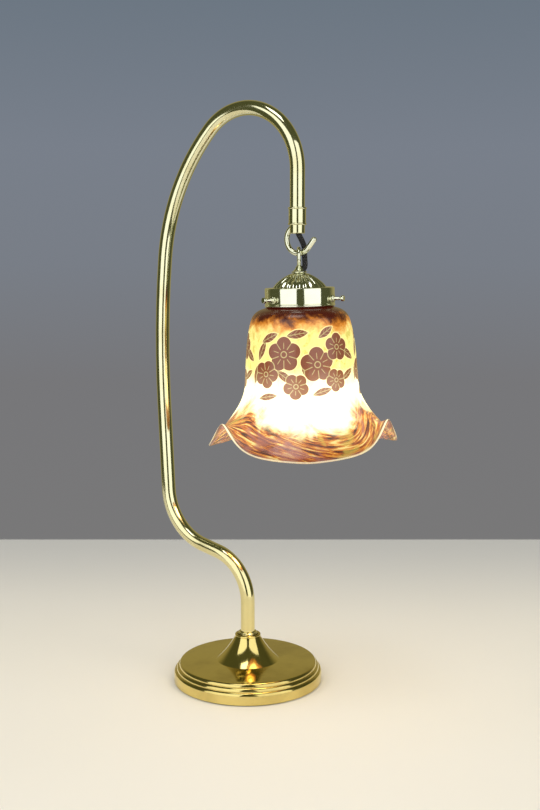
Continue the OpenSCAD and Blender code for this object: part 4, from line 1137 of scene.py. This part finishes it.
class LAMP_OT_shade(bpy.types.Operator):
    """Draws the glass down from its lip to the waist and out into three petals between pinched folds"""
    bl_idname = "lamp.shade"
    bl_label = "Shade"

    def execute(self, context):
        lamp = context.scene.tulip_lamp
        size = lamp.shade
        bell = self.bell()
        count = 120
        half = 20
        glass = draw_ring("petal_shade", count, bell[0][0], (0, 0, bell[0][1]))
        draw_out(bell)
        lines = [self.skirt(size, k / half) for k in range(half + 1)]
        mesh = glass.data
        for step in range(1, len(lines[0])):
            bpy.ops.mesh.extrude_region_move(TRANSFORM_OT_translate={"value": (0, 0, 0)})
            bpy.ops.object.mode_set(mode="OBJECT")
            ring = [v.index for v in mesh.vertices if v.select]
            ranks = {}
            for index in ring:
                x, y, _ = mesh.vertices[index].co
                rank = (round(math.atan2(-x, y) / (2 * math.pi) * count) - 1) % (2 * half)
                ranks.setdefault(min(rank, 2 * half - rank), []).append(index)
            for rank, members in ranks.items():
                (r0, z0), (r1, z1) = lines[rank][step - 1], lines[rank][step]
                shift(mesh, members, r1 / r0, z1 - z0)
            pick(mesh, ring)
            bpy.ops.object.mode_set(mode="EDIT")
        heal()
        bpy.ops.object.mode_set(mode="OBJECT")
        rim = [glass.matrix_world @ mesh.vertices[index].co for index in ring]
        inwards = sum(polygon.normal.xy.dot(polygon.center.xy) < 0 for polygon in mesh.polygons)
        if inwards > len(mesh.polygons) / 2:
            bpy.ops.object.mode_set(mode="EDIT")
            bpy.ops.mesh.select_all(action="SELECT")
            bpy.ops.mesh.flip_normals()
            bpy.ops.object.mode_set(mode="OBJECT")
        work(glass, "SOLIDIFY", thickness=size.thickness * MM, offset=-1, use_even_offset=True)
        work(glass, "SUBSURF", levels=1, render_levels=1)
        self.measure_rim(glass, rim)
        settle(glass, finish("painted_glass"), "hung_shade", ["glass_shade"], 80, hung_frame(lamp))
        return {"FINISHED"}

    def measure_rim(self, glass, rim):
        """Stores each point's distance to the rim, in millimetres, for the pale edge and the dark line beside it."""
        rim.sort(key=lambda p: math.atan2(p.y, p.x))
        line = [a.lerp(b, i / 8) for a, b in zip(rim, rim[1:] + rim[:1]) for i in range(8)]
        tree = KDTree(len(line))
        for i, p in enumerate(line):
            tree.insert(p, i)
        tree.balance()
        near = glass.data.attributes.new("rim_distance", "FLOAT", "POINT")
        for v, value in zip(glass.data.vertices, near.data):
            value.value = tree.find(glass.matrix_world @ v.co)[2] / MM

    def bell(self):
        """Neck and bell, as (radius, height), from the fitting lip to the skirt."""
        lip, groove, foot = 29.1, 27.5, BAND_FOOT
        shoulder, waist = (43, foot - 9.8), (48.4, foot - 39.2)
        points = [(lip - 0.8, GLASS_TOP), (lip, GLASS_TOP - 0.8), (lip, LIP_FOOT + 0.3), (lip - 0.3, LIP_FOOT),
                  (groove + 0.3, LIP_FOOT), (groove, LIP_FOOT - 0.8), (groove, foot + 2.6), (groove + 0.5, foot + 0.9),
                  (groove + 2.2, foot - 0.7)]
        over = [(groove + 5.6, foot - 1.6), (groove + 10, foot - 2.8), moved(shoulder, -1.7, 4.2), shoulder]
        down = [shoulder, moved(shoulder, 1.7, -4.2), moved(waist, -0.8, 12.6), waist]
        out = [waist, moved(waist, 0.8, -9.8), moved(SKIRT, -0.8, 10), SKIRT]
        points += [curve_point(over, i / 6) for i in range(7)]
        points += [curve_point(down, i / 6) for i in range(1, 7)]
        return points + [curve_point(out, i / 6) for i in range(1, 7)]

    def skirt(self, size, share):
        """Skirt at a share of the half petal, 0 at a fold and 1 at a petal's middle, down to the rim."""
        fold = math.exp(-(share * PETAL_TURN / 2 / math.degrees(size.fold_width)) ** 1.6)
        petal_rim = (size.mouth, BAND_FOOT - size.petal_drop + 8 * (1 - share) ** 1.3)
        fold_rim = (size.fold, BAND_FOOT - size.fold_drop)

        def between(a, b):
            return fold * a[0] + (1 - fold) * b[0], fold * a[1] + (1 - fold) * b[1]

        guides = [SKIRT, moved(SKIRT, 1.2, -14), between(moved(fold_rim, -15, -13), moved(petal_rim, -22, 25)),
                  between(fold_rim, petal_rim)]
        return [curve_point(guides, i / 14) for i in range(15)]


class LAMP_OT_bulb(bpy.types.Operator):
    """Turns the bulb's glass and its cap with two bayonet pins"""
    bl_idname = "lamp.bulb"
    bl_label = "Bulb"

    def execute(self, context):
        lamp = context.scene.tulip_lamp
        frame_of = hung_frame(lamp)
        globe, r, wall, neck = 30.0, 10.34, 0.8, math.radians(38)
        join_at = (globe * math.cos(neck), GLOBE_MIDDLE + globe * math.sin(neck))
        guides = [join_at, moved(join_at, -11 * math.sin(neck), 11 * math.cos(neck)), (r, CAP_END - 13), (r, CAP_END)]
        outline = bow(0, GLOBE_MIDDLE, globe, -90, 38, 28) + [curve_point(guides, i / 10) for i in range(1, 11)]
        outline += [(r, CAP_END + 8), (r - wall, CAP_END + 8), (r - wall, CAP_END)]
        outline += [moved(curve_point(guides, i / 8), -wall, 0) for i in range(7, 0, -1)]
        outline += bow(0, GLOBE_MIDDLE, globe - wall, 38, -90, 20)
        glass = turned("bulb_envelope", outline, 72)
        settle(glass, finish("lit_bulb"), "bulb", ["bulb_glass"], 60, frame_of)

        top, r = BULB_TOP - 0.8, 11.0
        outline = [(r - 0.6, CAP_END), (r - 0.15, CAP_END), (r, CAP_END + 0.2), (r, top - 0.9), (r - 0.3, top - 0.3),
                   (r - 0.9, top), (r - 1.5, top), (r - 0.6, top - 0.9)]
        cap = turned("bulb_cap_shell", outline, 72)
        bpy.ops.object.mode_set(mode="OBJECT")
        for side in (-1, 1):
            pin = rod_between("pin", 0.98, (side * 10.5, 0, BULB_TOP - 7), (side * 12.4, 0, BULB_TOP - 7), 20)
            work(pin, "BEVEL", width=0.25 * MM, segments=2, limit_method="ANGLE")
            cap = join(cap, pin)
        settle(cap, finish("cap_metal"), "bulb", ["bulb_cap"], 40, frame_of)
        return {"FINISHED"}


class LAMP_OT_hidden(bpy.types.Operator):
    """Finishes the pieces of the frame that keep their own shape"""
    bl_idname = "lamp.hidden"
    bl_label = "Inner pieces"

    def execute(self, context):
        kept = {
            "iron": ["base_weight"], "felt": ["base_felt"], "black_bush": ["cable_bush", "bulb_insulator"],
            "steel": ["fixing_washer", "bulb_contacts"], "inner_flex": ["foot_flex", "stem_flex", "holder_flex"],
            "polished_brass": ["fixing_nut", "gallery_stud", "gallery_nut", "holder_cap", "holder_ring",
                               "holder_barrel", "contact_plungers"],
            "porcelain": ["holder_insulator"], "clear_glass": ["bulb_stem"], "filament": ["bulb_filament"],
        }
        kept = {node: paint for paint, nodes in kept.items() for node in nodes}
        for node, paint in kept.items():
            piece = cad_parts[node]
            piece.data.materials.clear()
            piece.data.materials.append(finish(paint))
        bare = [name for name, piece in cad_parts.items() if name not in kept and not piece.hide_render]
        if bare:
            raise RuntimeError(f"these pieces have no finish: {bare}")
        return {"FINISHED"}


PIECES = (LAMP_OT_stage, LAMP_OT_foot, LAMP_OT_stem, LAMP_OT_hook, LAMP_OT_gallery, LAMP_OT_screws, LAMP_OT_shade,
          LAMP_OT_bulb, LAMP_OT_flex, LAMP_OT_hidden)


class LAMP_PT_pieces(bpy.types.Panel):
    """Lists the lamp's pieces"""
    bl_idname = "LAMP_PT_pieces"
    bl_label = "Tulip Shade Table Lamp"
    bl_space_type = "VIEW_3D"
    bl_region_type = "UI"
    bl_category = "Lamp"

    def draw(self, context):
        for piece in PIECES:
            self.layout.operator(piece.bl_idname)
        lamp = context.scene.tulip_lamp
        for group in ("foot", "stem", "hook", "gallery", "shade", "finish", "studio"):
            box = self.layout.box()
            settings = getattr(lamp, group)
            for name in settings.__annotations__:
                box.prop(settings, name)


def register():
    for group in GROUPS + (TulipLampSettings,) + PIECES + (LAMP_PT_pieces,):
        bpy.utils.register_class(group)
    bpy.types.Scene.tulip_lamp = PointerProperty(type=TulipLampSettings)


def unregister():
    del bpy.types.Scene.tulip_lamp
    for group in reversed(GROUPS + (TulipLampSettings,) + PIECES + (LAMP_PT_pieces,)):
        bpy.utils.unregister_class(group)


def main():
    register()
    for piece in PIECES:
        group, name = piece.bl_idname.split(".")
        getattr(getattr(bpy.ops, group), name)()


if __name__ == "__main__":
    main()
